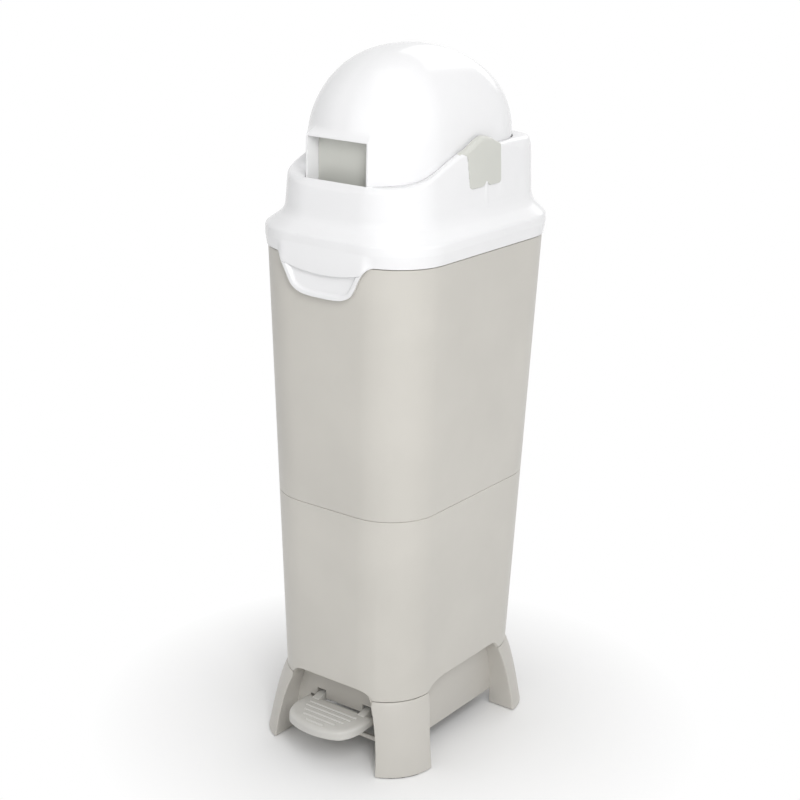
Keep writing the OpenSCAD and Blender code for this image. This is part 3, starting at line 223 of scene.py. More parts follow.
def opening_edge(out, a):
    """Distances to the edge of the opening round the lid, set out."""
    return nosed(OPENING_HALF[0] + out, OPENING_HALF[1] + out, OPENING_REAR + out,
                 OPENING_FRONT + out, NOSE_REACH + LID_GAP + out, 1, a)


def ledge(a):
    """Height of the ledge round the lid: low in front, high behind, swollen over the covers."""
    x, y = neck_edge(0, a) * np.cos(a), neck_edge(0, a) * np.sin(a)
    hump = np.cos(np.clip((y - COVER_Y) / HUMP_HALF, -1, 1) * math.pi / 2) ** 2 * HUMP_H
    rise = NECK_RISE * ease((y + TOP_HALF[1] - 6) / (TOP_HALF[1] - 13))
    return NECK_FRONT_Z + rise + np.where(np.abs(x) > TOP_HALF[0] / 2, hump, 0)


def falls(a):
    """How far the ledge falls towards its outer edge."""
    x, y = neck_edge(0, a) * np.cos(a), neck_edge(0, a) * np.sin(a)
    front = LEDGE_FRONT_FALL * np.maximum(0, 1 - (x / (TOP_HALF[0] * 0.73)) ** 2)
    back = LEDGE_BACK_FALL * ease((y - TOP_HALF[1] * 0.3) / (TOP_HALF[1] * 0.35))
    return LEDGE_FALL + np.where(y < 0, front, back)


def neck_row(inset, dz, sink, a):
    """A ring at the neck's upper edge, dz above the ledge and sunk by a share of its fall."""
    return on_rays(neck_edge(inset, a), ledge(a) + dz - sink * falls(a), a)


def opening_row(out, dz, a):
    """A ring at the opening's edge, dz above the ledge."""
    return on_rays(opening_edge(out, a), ledge(a) + dz, a)


def head_row(inset, z, a):
    """A ring of the head below the neck, inset from the rim."""
    k = inset / SHELF_IN
    rear, front = (RIM_CORNER + (corner - RIM_CORNER) * k for corner in (NECK_REAR, NECK_FRONT))
    return on_rays(reach(RIM_HALF[0] - inset, RIM_HALF[1] - SHELF_END * k, rear, front, a), z, a)


def ring_angles(half, corner, spacing):
    """Angles of rays round a rounded rectangle, spacing(x, y) millimetres apart."""
    fine = np.linspace(-math.pi, math.pi, 20001)[:-1]
    rho = reach(half[0], half[1], corner, corner, fine)
    x, y = rho * np.cos(fine), rho * np.sin(fine)
    step = np.hypot(np.diff(x, append=x[0]), np.diff(y, append=y[0]))
    progress = np.cumsum(step / spacing(x, y))
    count = int(round(progress[-1]))
    return np.interp(np.arange(count) * progress[-1] / count, progress, fine)


# ---------- Meshes ----------

# Distance in millimetres at which points are welded
WELD = 0.004
# Angles in degrees above which a prism's edges are bevelled, and above which they stay sharp
BEVEL_ANGLE, PRISM_ANGLE = 28.6, 34.4


def curve_between(a, b, c, steps):
    """Points of a quadratic curve from a to c that leans towards b."""
    a, b, c = (np.asarray(point, float) for point in (a, b, c))
    t = np.linspace(0, 1, steps + 1)
    return [a * (1 - u) ** 2 + b * 2 * u * (1 - u) + c * u * u for u in t]


def soften(rows, closed=False, steps=4):
    """Rounds the corners of a swept profile. rows holds (points, radius) pairs."""
    made, n = [], len(rows)
    for i, (p, r) in enumerate(rows):
        if r <= 0 or (not closed and i in (0, n - 1)):
            made.append(p)
            continue
        back, on = rows[i - 1][0] - p, rows[(i + 1) % n][0] - p
        lb = np.maximum(np.linalg.norm(back, axis=-1, keepdims=True), 1e-6)
        lo = np.maximum(np.linalg.norm(on, axis=-1, keepdims=True), 1e-6)
        t = np.minimum(r, np.minimum(lb, lo) * 0.48)
        made += curve_between(p + back / lb * t, p, p + on / lo * t, steps)
    return np.array(made)


def grid_faces(grid, close_rows, close_cols):
    """Quads between the points of a grid, closed round its rows, its columns or both."""
    rows, cols = grid.shape[:2]
    r = np.arange(rows if close_rows else rows - 1)[:, None]
    c = np.arange(cols if close_cols else cols - 1)[None, :]
    r2, c2 = (r + 1) % rows, (c + 1) % cols
    quads = np.stack([r * cols + c, r * cols + c2, r2 * cols + c2, r2 * cols + c], -1)
    return quads.reshape(-1, 4).tolist()


def ends_of(grid):
    """Two faces that close the first and the last row of a grid."""
    rows, cols = grid.shape[:2]
    return [list(range(cols))[::-1], list(range((rows - 1) * cols, rows * cols))]


def add_object(name, data):
    """An object with that data, in the scene."""
    made = bpy.data.objects.new(name, data)
    bpy.context.collection.objects.link(made)
    return made


def sharp_edges(bm, angle):
    """Edges whose two faces meet at more than an angle in degrees."""
    limit = math.radians(angle)
    return [e for e in bm.edges if len(e.link_faces) == 2 and e.calc_face_angle(0) > limit]


def shade(bm, mesh, angle):
    """Puts a bmesh in a mesh, smooth except at its sharp edges."""
    for face in bm.faces:
        face.smooth = True
    for edge in sharp_edges(bm, angle):
        edge.smooth = False
    bm.to_mesh(mesh)
    bm.free()


def finish_mesh(name, points, faces, smooth_angle=50):
    """A mesh object from points in millimetres, welded, facing out and smooth up to an angle."""
    mesh = bpy.data.meshes.new(name)
    mesh.from_pydata((np.asarray(points, float).reshape(-1, 3) * MM).tolist(), [], faces)
    bm = bmesh.new()
    bm.from_mesh(mesh)
    bmesh.ops.remove_doubles(bm, verts=bm.verts, dist=WELD * MM)
    bmesh.ops.dissolve_degenerate(bm, edges=bm.edges, dist=WELD * MM)
    bmesh.ops.recalc_face_normals(bm, faces=bm.faces)
    shade(bm, mesh, smooth_angle)
    return add_object(name, mesh)


def tube(name, rows, closed=True):
    """A surface swept round the bin from profile rows; closed joins the last row to the first."""
    grid = soften(rows, closed)
    return finish_mesh(name, grid, grid_faces(grid, closed, True))


def prism(name, outline, axis, lo, hi, bevel, holes=()):
    """A flat outline with holes, pushed along X (outline in y, z), Y (in x, z) or Z (in x, y)."""
    bm = bmesh.new()
    caps = []
    for at in (lo, hi):
        edges = []
        for loop in (outline, *holes):
            spots = [(at, u, v) if axis == "x" else (u, at, v) if axis == "y" else (u, v, at)
                     for u, v in loop]
            verts = [bm.verts.new(Vector(spot) * MM) for spot in spots]
            edges += [bm.edges.new((v, verts[(i + 1) % len(verts)])) for i, v in enumerate(verts)]
        bmesh.ops.triangle_fill(bm, use_beauty=True, edges=edges)
        caps.append(edges)
    for low, high in zip(*caps):
        a, b = low.verts
        c, d = high.verts
        bm.faces.new((a, b, d, c))
    bmesh.ops.recalc_face_normals(bm, faces=bm.faces)
    bmesh.ops.dissolve_limit(bm, angle_limit=0.001, verts=bm.verts, edges=bm.edges)
    bmesh.ops.bevel(bm, geom=sharp_edges(bm, BEVEL_ANGLE), offset=bevel * MM, segments=3,
                    profile=0.5, affect="EDGES", clamp_overlap=True)
    mesh = bpy.data.meshes.new(name)
    shade(bm, mesh, PRISM_ANGLE)
    return add_object(name, mesh)


def circle(middle, r, sides=48):
    """Points round a circle."""
    return [(middle[0] + r * math.cos(t), middle[1] + r * math.sin(t))
            for t in np.linspace(0, 2 * math.pi, sides, endpoint=False)]


def barrel(name, x0, x1, pin, r, bore):
    """A hinge barrel along X with a bore for its pin."""
    return prism(name, circle(pin, r), "x", x0, x1, 0.5, [circle(pin, bore)])


def join(name, pieces):
    """Joins pieces into the first one and names it."""
    with bpy.context.temp_override(active_object=pieces[0], object=pieces[0],
                                   selected_objects=pieces, selected_editable_objects=pieces):
        bpy.ops.object.join()
    pieces[0].name = name
    return pieces[0]


def dress(piece, body, slot, *nodes):
    """Gives a piece its material, its body and the CAD nodes that it stands for."""
    piece.data.materials.clear()
    piece.data.materials.append(MATERIALS[slot])
    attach(piece, body)
    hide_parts(*nodes)


# ---------- Materials ----------

# Noise scales per metre, how much scuffs and grain roughen, the grain's depth in metres
CLOUD_SCALE, SCUFF_SCALE = 9.0, 160.0
SCUFF_ROUGH, GRAIN_ROUGH, COAT_ROUGH, GRAIN_DEPTH = 0.07, 0.02, 0.12, 0.0002
# Pointiness over which convex edges take a painted highlight, and how far that painted highlight
# turns them pale
EDGE_HIGHLIGHT_SPAN, EDGE_HIGHLIGHT_PALE = (0.51, 0.6), 0.05


def add_node(tree, kind, **inputs):
    """A node with values for its input sockets."""
    made = tree.nodes.new(kind)
    for key, value in inputs.items():
        made.inputs[key].default_value = value
    return made


def mixed(tree, factor, a, b):
    """A mix of two colours, sockets or values."""
    node = tree.nodes.new("ShaderNodeMix")
    node.data_type = "RGBA"
    for socket, value in ((node.inputs[0], factor), (node.inputs[6], a), (node.inputs[7], b)):
        if isinstance(value, bpy.types.NodeSocket):
            tree.links.new(value, socket)
        else:
            socket.default_value = value
    return node.outputs[2]


def combined(tree, operation, a, b):
    """Two values joined by a Math node."""
    node = tree.nodes.new("ShaderNodeMath")
    node.operation = operation
    tree.links.new(a, node.inputs[0])
    tree.links.new(b, node.inputs[1])
    return node.outputs[0]


def switched(tree, factor, a, b):
    """A mix of two shaders."""
    mix = tree.nodes.new("ShaderNodeMixShader")
    for i, output in enumerate((factor, a.outputs[0], b.outputs[0])):
        tree.links.new(output, mix.inputs[i])
    return mix.outputs[0]


def ranged(tree, source, low, high, to_low, to_high):
    """A value taken from one range to another."""
    node = tree.nodes.new("ShaderNodeMapRange")
    for key, value in (("From Min", low), ("From Max", high),
                       ("To Min", to_low), ("To Max", to_high)):
        node.inputs[key].default_value = value
    tree.links.new(source, node.inputs["Value"])
    return node.outputs["Result"]


def noise(tree, coords, scale, detail, rough=0.5):
    """The value of a noise texture."""
    node = add_node(tree, "ShaderNodeTexNoise", Scale=scale, Detail=detail, Roughness=rough)
    tree.links.new(coords, node.inputs["Vector"])
    return node.outputs["Fac"]


def plastic(name, colour, rough, grain, depth, mottle=0.03, coat=0.0, ior=1.47, metal=0.0):
    """Moulded plastic: a faint cloudy colour, fine grain, small scuffs and convex edges made paler
    as a painted highlight.
    """
    material = bpy.data.materials.new(name)
    material.use_nodes = True
    tree = material.node_tree
    shader = tree.nodes["Principled BSDF"]
    coords = tree.nodes.new("ShaderNodeTexCoord").outputs["Object"]
    cloud = noise(tree, coords, CLOUD_SCALE, 4.0)
    fine = noise(tree, coords, grain, 2.0)
    scuff = noise(tree, coords, SCUFF_SCALE, 6.0, 0.7)
    dark = (*(c * (1 - mottle) for c in colour), 1)
    pale = (*(min(1, c * (1 + mottle)) for c in colour), 1)
    tint = mixed(tree, ranged(tree, cloud, 0.35, 0.65, 0, 1), dark, pale)
    # Convex edges turn paler by their pointiness: a painted highlight along the edges
    edge = tree.nodes.new("ShaderNodeNewGeometry").outputs["Pointiness"]
    highlight_share = ranged(tree, edge, *EDGE_HIGHLIGHT_SPAN, 0, EDGE_HIGHLIGHT_PALE)
    highlight_colour = (*(min(1, c * 1.12 + 0.02) for c in colour), 1)
    tree.links.new(mixed(tree, highlight_share, tint, highlight_colour), shader.inputs["Base Color"])
    gloss = combined(tree, "ADD", ranged(tree, scuff, 0.45, 0.7, rough, rough + SCUFF_ROUGH),
                     ranged(tree, fine, 0.3, 0.7, -GRAIN_ROUGH, GRAIN_ROUGH))
    tree.links.new(gloss, shader.inputs["Roughness"])
    bump = add_node(tree, "ShaderNodeBump", Strength=depth, Distance=GRAIN_DEPTH)
    tree.links.new(fine, bump.inputs["Height"])
    tree.links.new(bump.outputs["Normal"], shader.inputs["Normal"])
    for key, value in (("IOR", ior), ("Metallic", metal), ("Coat Weight", coat),
                       ("Coat Roughness", COAT_ROUGH)):
        shader.inputs[key].default_value = value
    return material


# Each slot's colour, roughness, grain per metre and its strength, then, where they aren't plain,
# its cloudiness, coat, index of refraction and metal
MATERIALS = {name: plastic(name, *look) for name, *look in (
    ("base_plastic", (0.565, 0.545, 0.505), 0.40, 2600, 0.22),
    ("body_plastic", (0.600, 0.580, 0.535), 0.36, 2600, 0.22),
    ("pedal_plastic", (0.590, 0.580, 0.550), 0.42, 2200, 0.3),
    ("white_plastic", (0.860, 0.860, 0.868), 0.20, 900, 0.04, 0.008, 0.25),
    ("lid_plastic", (0.865, 0.865, 0.873), 0.18, 900, 0.04, 0.008, 0.3),
    ("chute_plastic", (0.840, 0.840, 0.840), 0.24, 900, 0.05, 0.01),
    ("cover_plastic", (0.640, 0.645, 0.600), 0.34, 2400, 0.2),
    ("trim_plastic", (0.520, 0.520, 0.480), 0.45, 2000, 0.25),
    ("inner_plastic", (0.380, 0.380, 0.360), 0.5, 1800, 0.3),
    ("foot_rubber", (0.060, 0.060, 0.060), 0.7, 1500, 0.5, 0.1),
    ("seal_rubber", (0.200, 0.200, 0.200), 0.6, 1500, 0.4, 0.06),
    ("steel", (0.620, 0.630, 0.640), 0.28, 1200, 0.15, 0.05, 0.0, 2.0, 1.0),
)}


# ---------- Body ----------

def arch_curve(flat, shoulder, foot, steps):
    """Half an arch between two legs as [half width, z], from the foot up to its flat top."""
    upper = curve_between((flat, ARCH_TOP_Z), (shoulder, ARCH_TOP_Z), (shoulder, ARCH_SHOULDER_Z),
                          steps)
    middle = (foot - (foot - shoulder) * 0.2, ARCH_SHOULDER_Z * 0.62)
    lower = curve_between((shoulder, ARCH_SHOULDER_Z), middle, (foot, 0), steps)
    return np.array((upper[:-1] + lower)[::-1])


def arch_half(arch, z):
    """Half width of an arch at height z."""
    curve = arch_curve(*arch, 40)
    return np.interp(z, curve[:, 1], curve[:, 0])


def arch_height(arch, across):
    """Height of an arch over a point that far from its middle."""
    curve = arch_curve(*arch, 40)[::-1]
    return np.interp(across, curve[:, 0], curve[:, 1])


# Closer together where the arches' shoulders cut the body's foot
BODY_RAYS = ring_angles(SHOULDER_HALF, BODY_CORNER, lambda x, y: np.where(
    (np.abs(np.abs(y) - 50) < 17) & (np.abs(x) > FLANK)
    | (np.abs(np.abs(x) - 42) < 14) & (np.abs(y) > 90), 1.0, 4.0))


def upper_shell():
    """The upper body shell with its spigot, the joint at the seam and the head hinge's knuckle."""
    a, wall = BODY_RAYS, BODY_WALL
    rows = [(0, SEAM_Z + SEAM_GAP, 0.7), (0, SHOULDER_Z, 0.6), (-SHOULDER_STEP, SHOULDER_Z, 0.4),
            (-SHOULDER_STEP, SPIGOT_TOP_Z, 0.6), (-SHOULDER_STEP - wall, SPIGOT_TOP_Z, 0.6),
            (-SHOULDER_STEP - wall, SHOULDER_Z - 4, 1), (-wall, SHOULDER_Z - 8, 1),
            (-wall, SEAM_Z + 8, 1), (-wall - JOINT_IN, SEAM_Z + 4, 1),
            (-wall - JOINT_IN, SEAM_Z - JOINT_DEEP, 0.5), (-wall - 0.1, SEAM_Z - JOINT_DEEP, 0.5),
            (-wall - 0.1, SEAM_Z + SEAM_GAP, 0.1)]
    shell = tube("upper_shell", [(body_row(z, out, a), r) for out, z, r in rows])
    y0, y1 = body_half(SHOULDER_Z - 14)[1] - 1, body_half(SHOULDER_Z - 2)[1] - 1
    web = prism("web", [(y0, SHOULDER_Z - 16), (y1, SHOULDER_Z - 1.5),
                        (HEAD_PIN[0], SHOULDER_Z - 1.5),
                        (HEAD_PIN[0] + 2, HEAD_PIN[1] - HEAD_BARREL + 0.5)],
                "x", -HEAD_HINGE[0], HEAD_HINGE[0], 0.6)
    knuckle = barrel("knuckle", -HEAD_HINGE[0], HEAD_HINGE[0], HEAD_PIN, HEAD_BARREL, HEAD_BORE)
    dress(join("body_upper", [shell, web, knuckle]), "bin_body", "body_plastic", "upper_body_shell")


def lower_shell():
    """The lower body shell with its floor; its foot follows the arches between the legs."""
    a = BODY_RAYS
    x, y = body_row(FOOT_Z, 0, a).T[:2]
    beside = np.where(y < 0, arch_height(SIDE_ARCH[-1], -y), arch_height(SIDE_ARCH[1], y))
    over_side = np.where(np.abs(x) > BOX_HALF[0], beside, 0)
    over_end = np.where(np.abs(y) > BOX_HALF[1], arch_height(FRONT_ARCH, np.abs(x)), 0)
    foot = np.maximum(FOOT_Z + 0.2, np.maximum(over_side, over_end))
    rows = [(-BODY_WALL, foot, 0.2), (0, foot, 0.9), (0, SEAM_Z - SEAM_GAP, 0.7),
            (-BODY_WALL, SEAM_Z - SEAM_GAP, 0.5), (-BODY_WALL, FLOOR_Z + BODY_WALL, 4.0)]
    made = [(body_row(z, out, a), r) for out, z, r in rows]
    middle = made[-1][0] * np.array([0.02, 0.02, 1.0])
    shell = tube("body_lower", made + [(middle, 0)], False)
    dress(shell, "bin_body", "body_plastic", "lower_body_shell")


# ---------- Base ----------

def leg_half(z):
    """Half sizes of the legs' outside at height z: they swell out under the body, then drop."""
    k = FLARE_SHARE * np.maximum(0, 1 - z / FOOT_Z) ** FLARE_POWER
    return FOOT_HALF[0] + LEG_FLARE[0] * k, FOOT_HALF[1] + LEG_FLARE[1] * k


def leg_section(side_arch, z, inset=0.0):
    """One leg cut at height z: along the side arch, round the outside, along the front arch."""
    around, turn, edge, clear = 26, 4, 1.4, 1.2
    w, d = (v - inset for v in leg_half(z))
    r = BODY_CORNER - inset
    side, end = arch_half(side_arch, z) + inset, arch_half(FRONT_ARCH, z) + inset
    a = np.linspace(0, math.pi / 2, 400)
    rho = reach(w, d, r, r, a)
    x, y = rho * np.cos(a), rho * np.sin(a)
    keep = (y > side + clear) & (x > end + clear)
    px, py = x[keep], y[keep]
    at = np.concatenate([[0], np.cumsum(np.hypot(np.diff(px), np.diff(py)))])
    even = np.linspace(0, at[-1], around)
    outside = np.stack([np.interp(even, at, px), np.interp(even, at, py)], -1)
    x_edge, y_edge = np.interp(side, y, x), np.interp(end, x[::-1], y[::-1])
    round_in = curve_between((x_edge - edge, side), (x_edge, side), outside[0], turn)
    round_out = curve_between(outside[-1], (end, y_edge), (end, y_edge - edge), turn)
    w, d = BOX_HALF
    first = [(x, side) for x in (w - 1, *np.linspace(w + 3, x_edge - 4, 3))]
    last = [(end, y) for y in (*np.linspace(y_edge - 4, d + 3, 3), d - 1)]
    return np.array([(x, y, z) for x, y in (*first, *round_in, *outside[1:-1], *round_out, *last)])


def leg(sx, sy):
    """The leg in one corner, given by the signs of its x and y."""
    arch = SIDE_ARCH[sy]
    rows = [leg_section(arch, 0.8, 0.6)] + [leg_section(arch, z) for z in LEG_LEVELS]
    rows += [leg_section(arch, FOOT_Z - 0.2), leg_section(arch, FOOT_Z - 0.1, 0.5)]
    grid = np.array(rows) * np.array([sx, sy, 1])
    faces = grid_faces(grid, False, False) + [list(range(grid.shape[1]))]
    return finish_mesh("leg", grid, faces)


def arch_roof(arch, other, outside, inside, swap):
    """The underside between two legs, from just inside the body's wall in to the mechanism box."""
    halves = [arch_curve(*way, 16) for way in (arch, other)]
    curve, back = (half[half[:, 1] >= FOOT_Z - 4] for half in halves)
    whole = np.concatenate([curve, back[::-1] * np.array([-1, 1])])
    grid = np.array([[(depth, u, z) if swap else (u, depth, z) for u, z in whole]
                     for depth in (outside, (outside + inside) / 2, inside)])
    return finish_mesh("roof", grid, grid_faces(grid, False, False))


def window_outline():
    """The pedal's window in the box, with a notch above each tongue."""
    low, mid = WINDOW_Z
    outline = [(-WINDOW_HALF, low), (WINDOW_HALF, low), (WINDOW_HALF, mid)]
    for x in (ARM_X, -ARM_X):
        right, left = x + NOTCH_HALF, x - NOTCH_HALF
        outline += [(right, mid), (right, NOTCH_Z), (left, NOTCH_Z), (left, mid)]
    return outline + [(-WINDOW_HALF, mid)]


def mechanism_box():
    """The box under the floor that holds the pedal's mechanism, with its window and tail."""
    (w, d), low, high, t = BOX_HALF, BOX_BOTTOM_Z, FLOOR_Z, BOX_WALL
    face = [(-w, low), (w, low), (w, high), (-w, high)]
    front = prism("front", face, "y", -d, -d + t, 0.5, [window_outline()])
    opening = TAIL_HALF * 0.78
    back = prism("back", face, "y", d - t, d, 0.5, [
        [(-opening, low + 3), (opening, low + 3), (opening, high - 3), (-opening, high - 3)]])
    wall = [(-d + 0.5, low), (d - 0.5, low), (d - 0.5, high), (-d + 0.5, high)]
    sides = [prism("side", wall, "x", *sorted((s * w, s * (w - t))), 0.5) for s in (-1, 1)]
    lid = prism("top", [(-w + 1, -d + 1), (w - 1, -d + 1), (w - 1, d - 1), (-w + 1, d - 1)],
                "z", high - t, high, 0.3)
    x, y, near = TAIL_HALF, TAIL_Y, d - 1
    tail = [(-x, near), (-x, y), (x, y), (x, near), (x - t, near), (x - t, y - t), (-x + t, y - t),
            (-x + t, near)]
    return [front, back, *sides, lid, prism("tail", tail, "z", low, high - 0.5, 0.4)]


def pin_brackets():
    """The lugs in the box that carry the pedal's pin."""
    y, z = PIVOT
    outline = [(y - 7, z - 5), (y + 7, z - 5), (y + 12, FLOOR_Z - 2), (y - 12, FLOOR_Z - 2)]
    bore = circle(PIVOT, PIVOT_BORE, 24)
    return [prism("lug", outline, "x", *sorted(s * x for x in LUG_X), 0.4, [bore]) for s in (-1, 1)]


def base():
    """The base: legs, roofs of the arches, mechanism box and the pedal's lugs."""
    legs = [leg(sx, sy) for sx in (-1, 1) for sy in (-1, 1)]
    w, d = FOOT_HALF
    roofs = [arch_roof(SIDE_ARCH[1], SIDE_ARCH[-1], s * (w - BODY_WALL), s * (BOX_HALF[0] - 1),
                       True) for s in (-1, 1)]
    roofs += [arch_roof(FRONT_ARCH, FRONT_ARCH, s * (d - BODY_WALL), s * (BOX_HALF[1] - 1), False)
              for s in (-1, 1)]
    whole = join("base_legs", legs + roofs + mechanism_box() + pin_brackets())
    dress(whole, "bin_body", "base_plastic", "base")


# ---------- Pedal ----------

def pedal_outline(inset):
    """The pedal's outline: a straight back, sides that draw in and a bowed front."""
    hw, back, front = PEDAL_HALF - inset, PEDAL_BACK_Y - inset, PEDAL_FRONT_Y + inset
    length = back - front
    corner = curve_between((hw - 3, back), (hw, back), (hw, back - 4), 5)
    bulge, turn = (hw - 2.5, back - length * 0.72), (hw - 11, back - length * 0.86)
    side = curve_between((hw - 0.6, back - length * 0.4), bulge, turn, 10)
    bow = curve_between(turn, (hw * 0.42, front), (0, front), 14)
    half = corner + side + bow[1:]
    other = [p * np.array([-1, 1]) for p in half[-2::-1]]
    return np.array(half + other)


def over_pedal(y, curve):
    """Height of the pedal's top or lower edge at y."""
    ys, zs = zip(*curve)
    return np.interp(y, ys, zs)


def pedal_row(inset, curve, down=0.0):
    """A ring of the pedal, inset from its outline, that follows its top or its lower edge."""
    flat = pedal_outline(inset)
    return np.column_stack([flat, over_pedal(flat[:, 1], curve) - down])


def rib(y, half):
    """A low rounded rib across the pedal."""
    x = np.concatenate([[-half], np.linspace(-half + 1, half - 1, 24), [half]])
    up = np.linspace(0, math.pi, 9)
    width = np.where(np.abs(x) > half - 0.5, 0.15, 1.0)
    z = over_pedal(y, PEDAL_TOP) - RIB_SUNK
    grid = np.array([[(xi, y + RIB_HALF * w * math.cos(t), z + RIB_H * w * math.sin(t))
                      for xi, w in zip(x, width)] for t in up])
    return finish_mesh("rib", grid, grid_faces(grid, False, False))


def pedal():
    """The pedal pad: a hollow ribbed plate with two tongues behind it."""
    # The edge is a ring; two skins close it, one within its top and one within its hollow
    on_top, below = (5.0, 0.0), (PEDAL_WALL + 1, PEDAL_WALL)
    rows = [(pedal_row(below[0], PEDAL_TOP, below[1]), 0.4),
            (pedal_row(PEDAL_WALL, PEDAL_FOOT), 0.6), (pedal_row(0, PEDAL_FOOT), 0.7),
            (pedal_row(0, PEDAL_TOP, 0.9), 2.0), (pedal_row(4.0, PEDAL_TOP), 3.0),
            (pedal_row(on_top[0], PEDAL_TOP), 0)]
    grid = soften(rows)
    plate = finish_mesh("plate", grid, grid_faces(grid, False, True), 60)
    skins = []
    for inset, down in (on_top, below):
        flat = pedal_outline(inset)
        half = len(flat) // 2
        right, left = flat[:half + 1], flat[::-1][:half + 1]
        across = np.linspace(0, 1, 13)[:, None, None]
        sheet = right[None] * (1 - across) + left[None] * across
        z = over_pedal(sheet[..., 1], PEDAL_TOP) - down
        skin = np.concatenate([sheet, z[..., None]], -1)
        skins.append(finish_mesh("skin", skin, grid_faces(skin, False, False)))
    made = [plate] + skins + [rib(y, half) for y, half in RIB_ROWS]
    joint_y, foot_z = PIVOT[0] - 41, PIVOT[1] - 7
    tongue = [(joint_y - 0.3, foot_z), (joint_y - 0.3, PIVOT[1] + 2),
              (-BOX_HALF[1] - 1, PIVOT[1] + 2), (PEDAL_BACK_Y - 6, 47.8), (PEDAL_BACK_Y - 8, 45.0),
              (PEDAL_BACK_Y - 2, 43.4), (PEDAL_BACK_Y + 3, foot_z)]
    made += [prism("tongue", tongue, "x", s * ARM_X - ARM_HALF, s * ARM_X + ARM_HALF, 0.5)
             for s in (-1, 1)]
    dress(join("pedal_plate", made), "pedal", "pedal_plastic", "pedal_pad")


# ---------- Head ----------

def tab_line(x):
    """Height of the skirt's lower edge over x, with the pull tab in front."""
    fine = np.arange(-80, 80.1, 0.5)
    z = np.interp(np.abs(fine), TAB_EDGE[:, 0], TAB_EDGE[:, 1])
    smooth = np.convolve(np.pad(z, 4, "edge"), np.ones(9) / 9, "valid")
    return np.interp(x, fine, smooth)


def tab_distance(x, z):
    """How far a point of the front lies inside the tab's outline."""
    line = np.arange(-75, 75.1, 0.5)
    edge = tab_line(line)
    return np.sqrt(np.min((x[..., None] - line) ** 2 + (z[..., None] - edge) ** 2, -1))


def front_rows(a):
    """The skirt from its lower edge to the rim, with the tab's lip, dish and hood."""
    # The skirt's x at the middle of the tab's height serves for all of its rows
    x = body_row(500.0, 3.0, a)[:, 0]
    front = np.sin(a) < 0
    foot = np.where(front, tab_line(np.where(front, x, 75)), SKIRT_Z)
    tab = np.where(front, ease((TAB_END - np.abs(x)) / TAB_BLEND), 0)
    arc = HOOD_Z + HOOD_BOW * (x / HOOD_HALF) ** 2
    hood = np.where(tab > 0, np.maximum(arc, foot + 1.0), foot + 1.0)
    hood = np.minimum(hood, SKIRT_Z + 1.0)

    def skirt(z):
        t = np.clip((z - SKIRT_Z) / (RIM_Z - SKIRT_Z), 0, 1)
        return SKIRT_PROUD + (RIM_PROUD - SKIRT_PROUD) * t

    def over(z):
        """The hood, from its lip over the dish up to the rim."""
        t = np.clip((z - hood) / (RIM_Z - hood), 0, 1)
        lip = LIP_PROUD - 0.2
        return skirt(z) * (1 - tab) + (lip + (RIM_PROUD - lip) * t ** 1.3) * tab

    def dish(z):
        """The finger dish: deep under the hood, sloping out to the lip."""
        away = tab_distance(x, z)
        t = np.clip((z - foot) / np.maximum(hood - foot, 1), 0, 1)
        deep = DISH_DEEP - DISH_RISE * t ** 0.8
        lip = LIP_PROUD * tab + SKIRT_PROUD * (1 - tab)
        k = ease((away - LIP_W) / 2.6) * tab * ease((hood - foot - 2) / 6)
        return lip + (deep - lip) * k

    rows = [(body_row(foot + 2.2, 0.7, a), 0.0), (body_row(foot + 0.2, 0.7, a), 0.4),
            (body_row(foot, dish(foot), a), 1.3)]
    for t in (0.05, 0.1, 0.14, 0.18, 0.22, 0.26, 0.31, 0.37, 0.44, 0.52, 0.6, 0.7, 0.8, 0.88,
              0.94, 0.985):
        z = foot + (hood - foot) * t
        rows.append((body_row(z, dish(z), a), 0.0))
    rows += [(body_row(hood - 0.05, dish(hood - 0.05), a), 0.0),
             (body_row(hood, over(hood) - 0.8 * tab, a), 0.0),
             (body_row(hood + 0.35, over(hood + 0.35) - 0.12 * tab, a), 0.0)]
    for t in (0.08, 0.2, 0.4, 0.6, 0.8):
        z = hood + (RIM_Z - hood) * t
        rows.append((body_row(z, over(z), a), 0.0))
    return rows


# Closest in front for the tab and its dish, close at the flanks for the covers' recesses
HEAD_RAYS = ring_angles(RIM_HALF, RIM_CORNER, lambda x, y: np.where(
    (y < 0) & (np.abs(x) < FLANK), 0.8,
    np.where((np.abs(x) > FLANK) & (np.abs(y - 8) < 44), 1.3, 3.0)))


def cover_foot(y):
    """Height of the side cover's lower edge over y, with the ear in front and the nick."""
    y = np.asarray(y, float)
    bottom = COVER_FOOT_Z + NICK_H * np.exp(-((y - NICK_Y) / NICK_W) ** 2)
    fore = np.clip((FOOT_ROUND_Y[0] - y) / FOOT_ROUND_W, 0, 1)
    aft = np.clip((y - FOOT_ROUND_Y[1]) / FOOT_ROUND_W, 0, 1)
    bottom = bottom + FOOT_ROUND_H * (fore ** 2 + aft ** 2)
    return np.where(y < EAR_BACK_Y, np.interp(y, *zip(*EAR)), bottom)


def neck_profile(a):
    """The head's outside from the shelf's end over the neck and the ledge to the opening."""
    low = head_row(SHELF_IN, NECK_Z, a)
    return [(low, 9.0), (neck_row(0, -1, 1, a), 2.6), (neck_row(2.4, 0, 0.2, a), 2.0),
            (opening_row(1.2, 0, a), 0.0)]


def in_cover(grid):
    """How far points of the neck lie inside the side covers' outline, for the recess under them."""
    y, z = grid[..., 1], grid[..., 2]
    across = np.minimum(y - COVER_FRONT_Y, COVER_BACK_Y - y)
    return np.minimum(across, (z - cover_foot(y)) * 0.8)


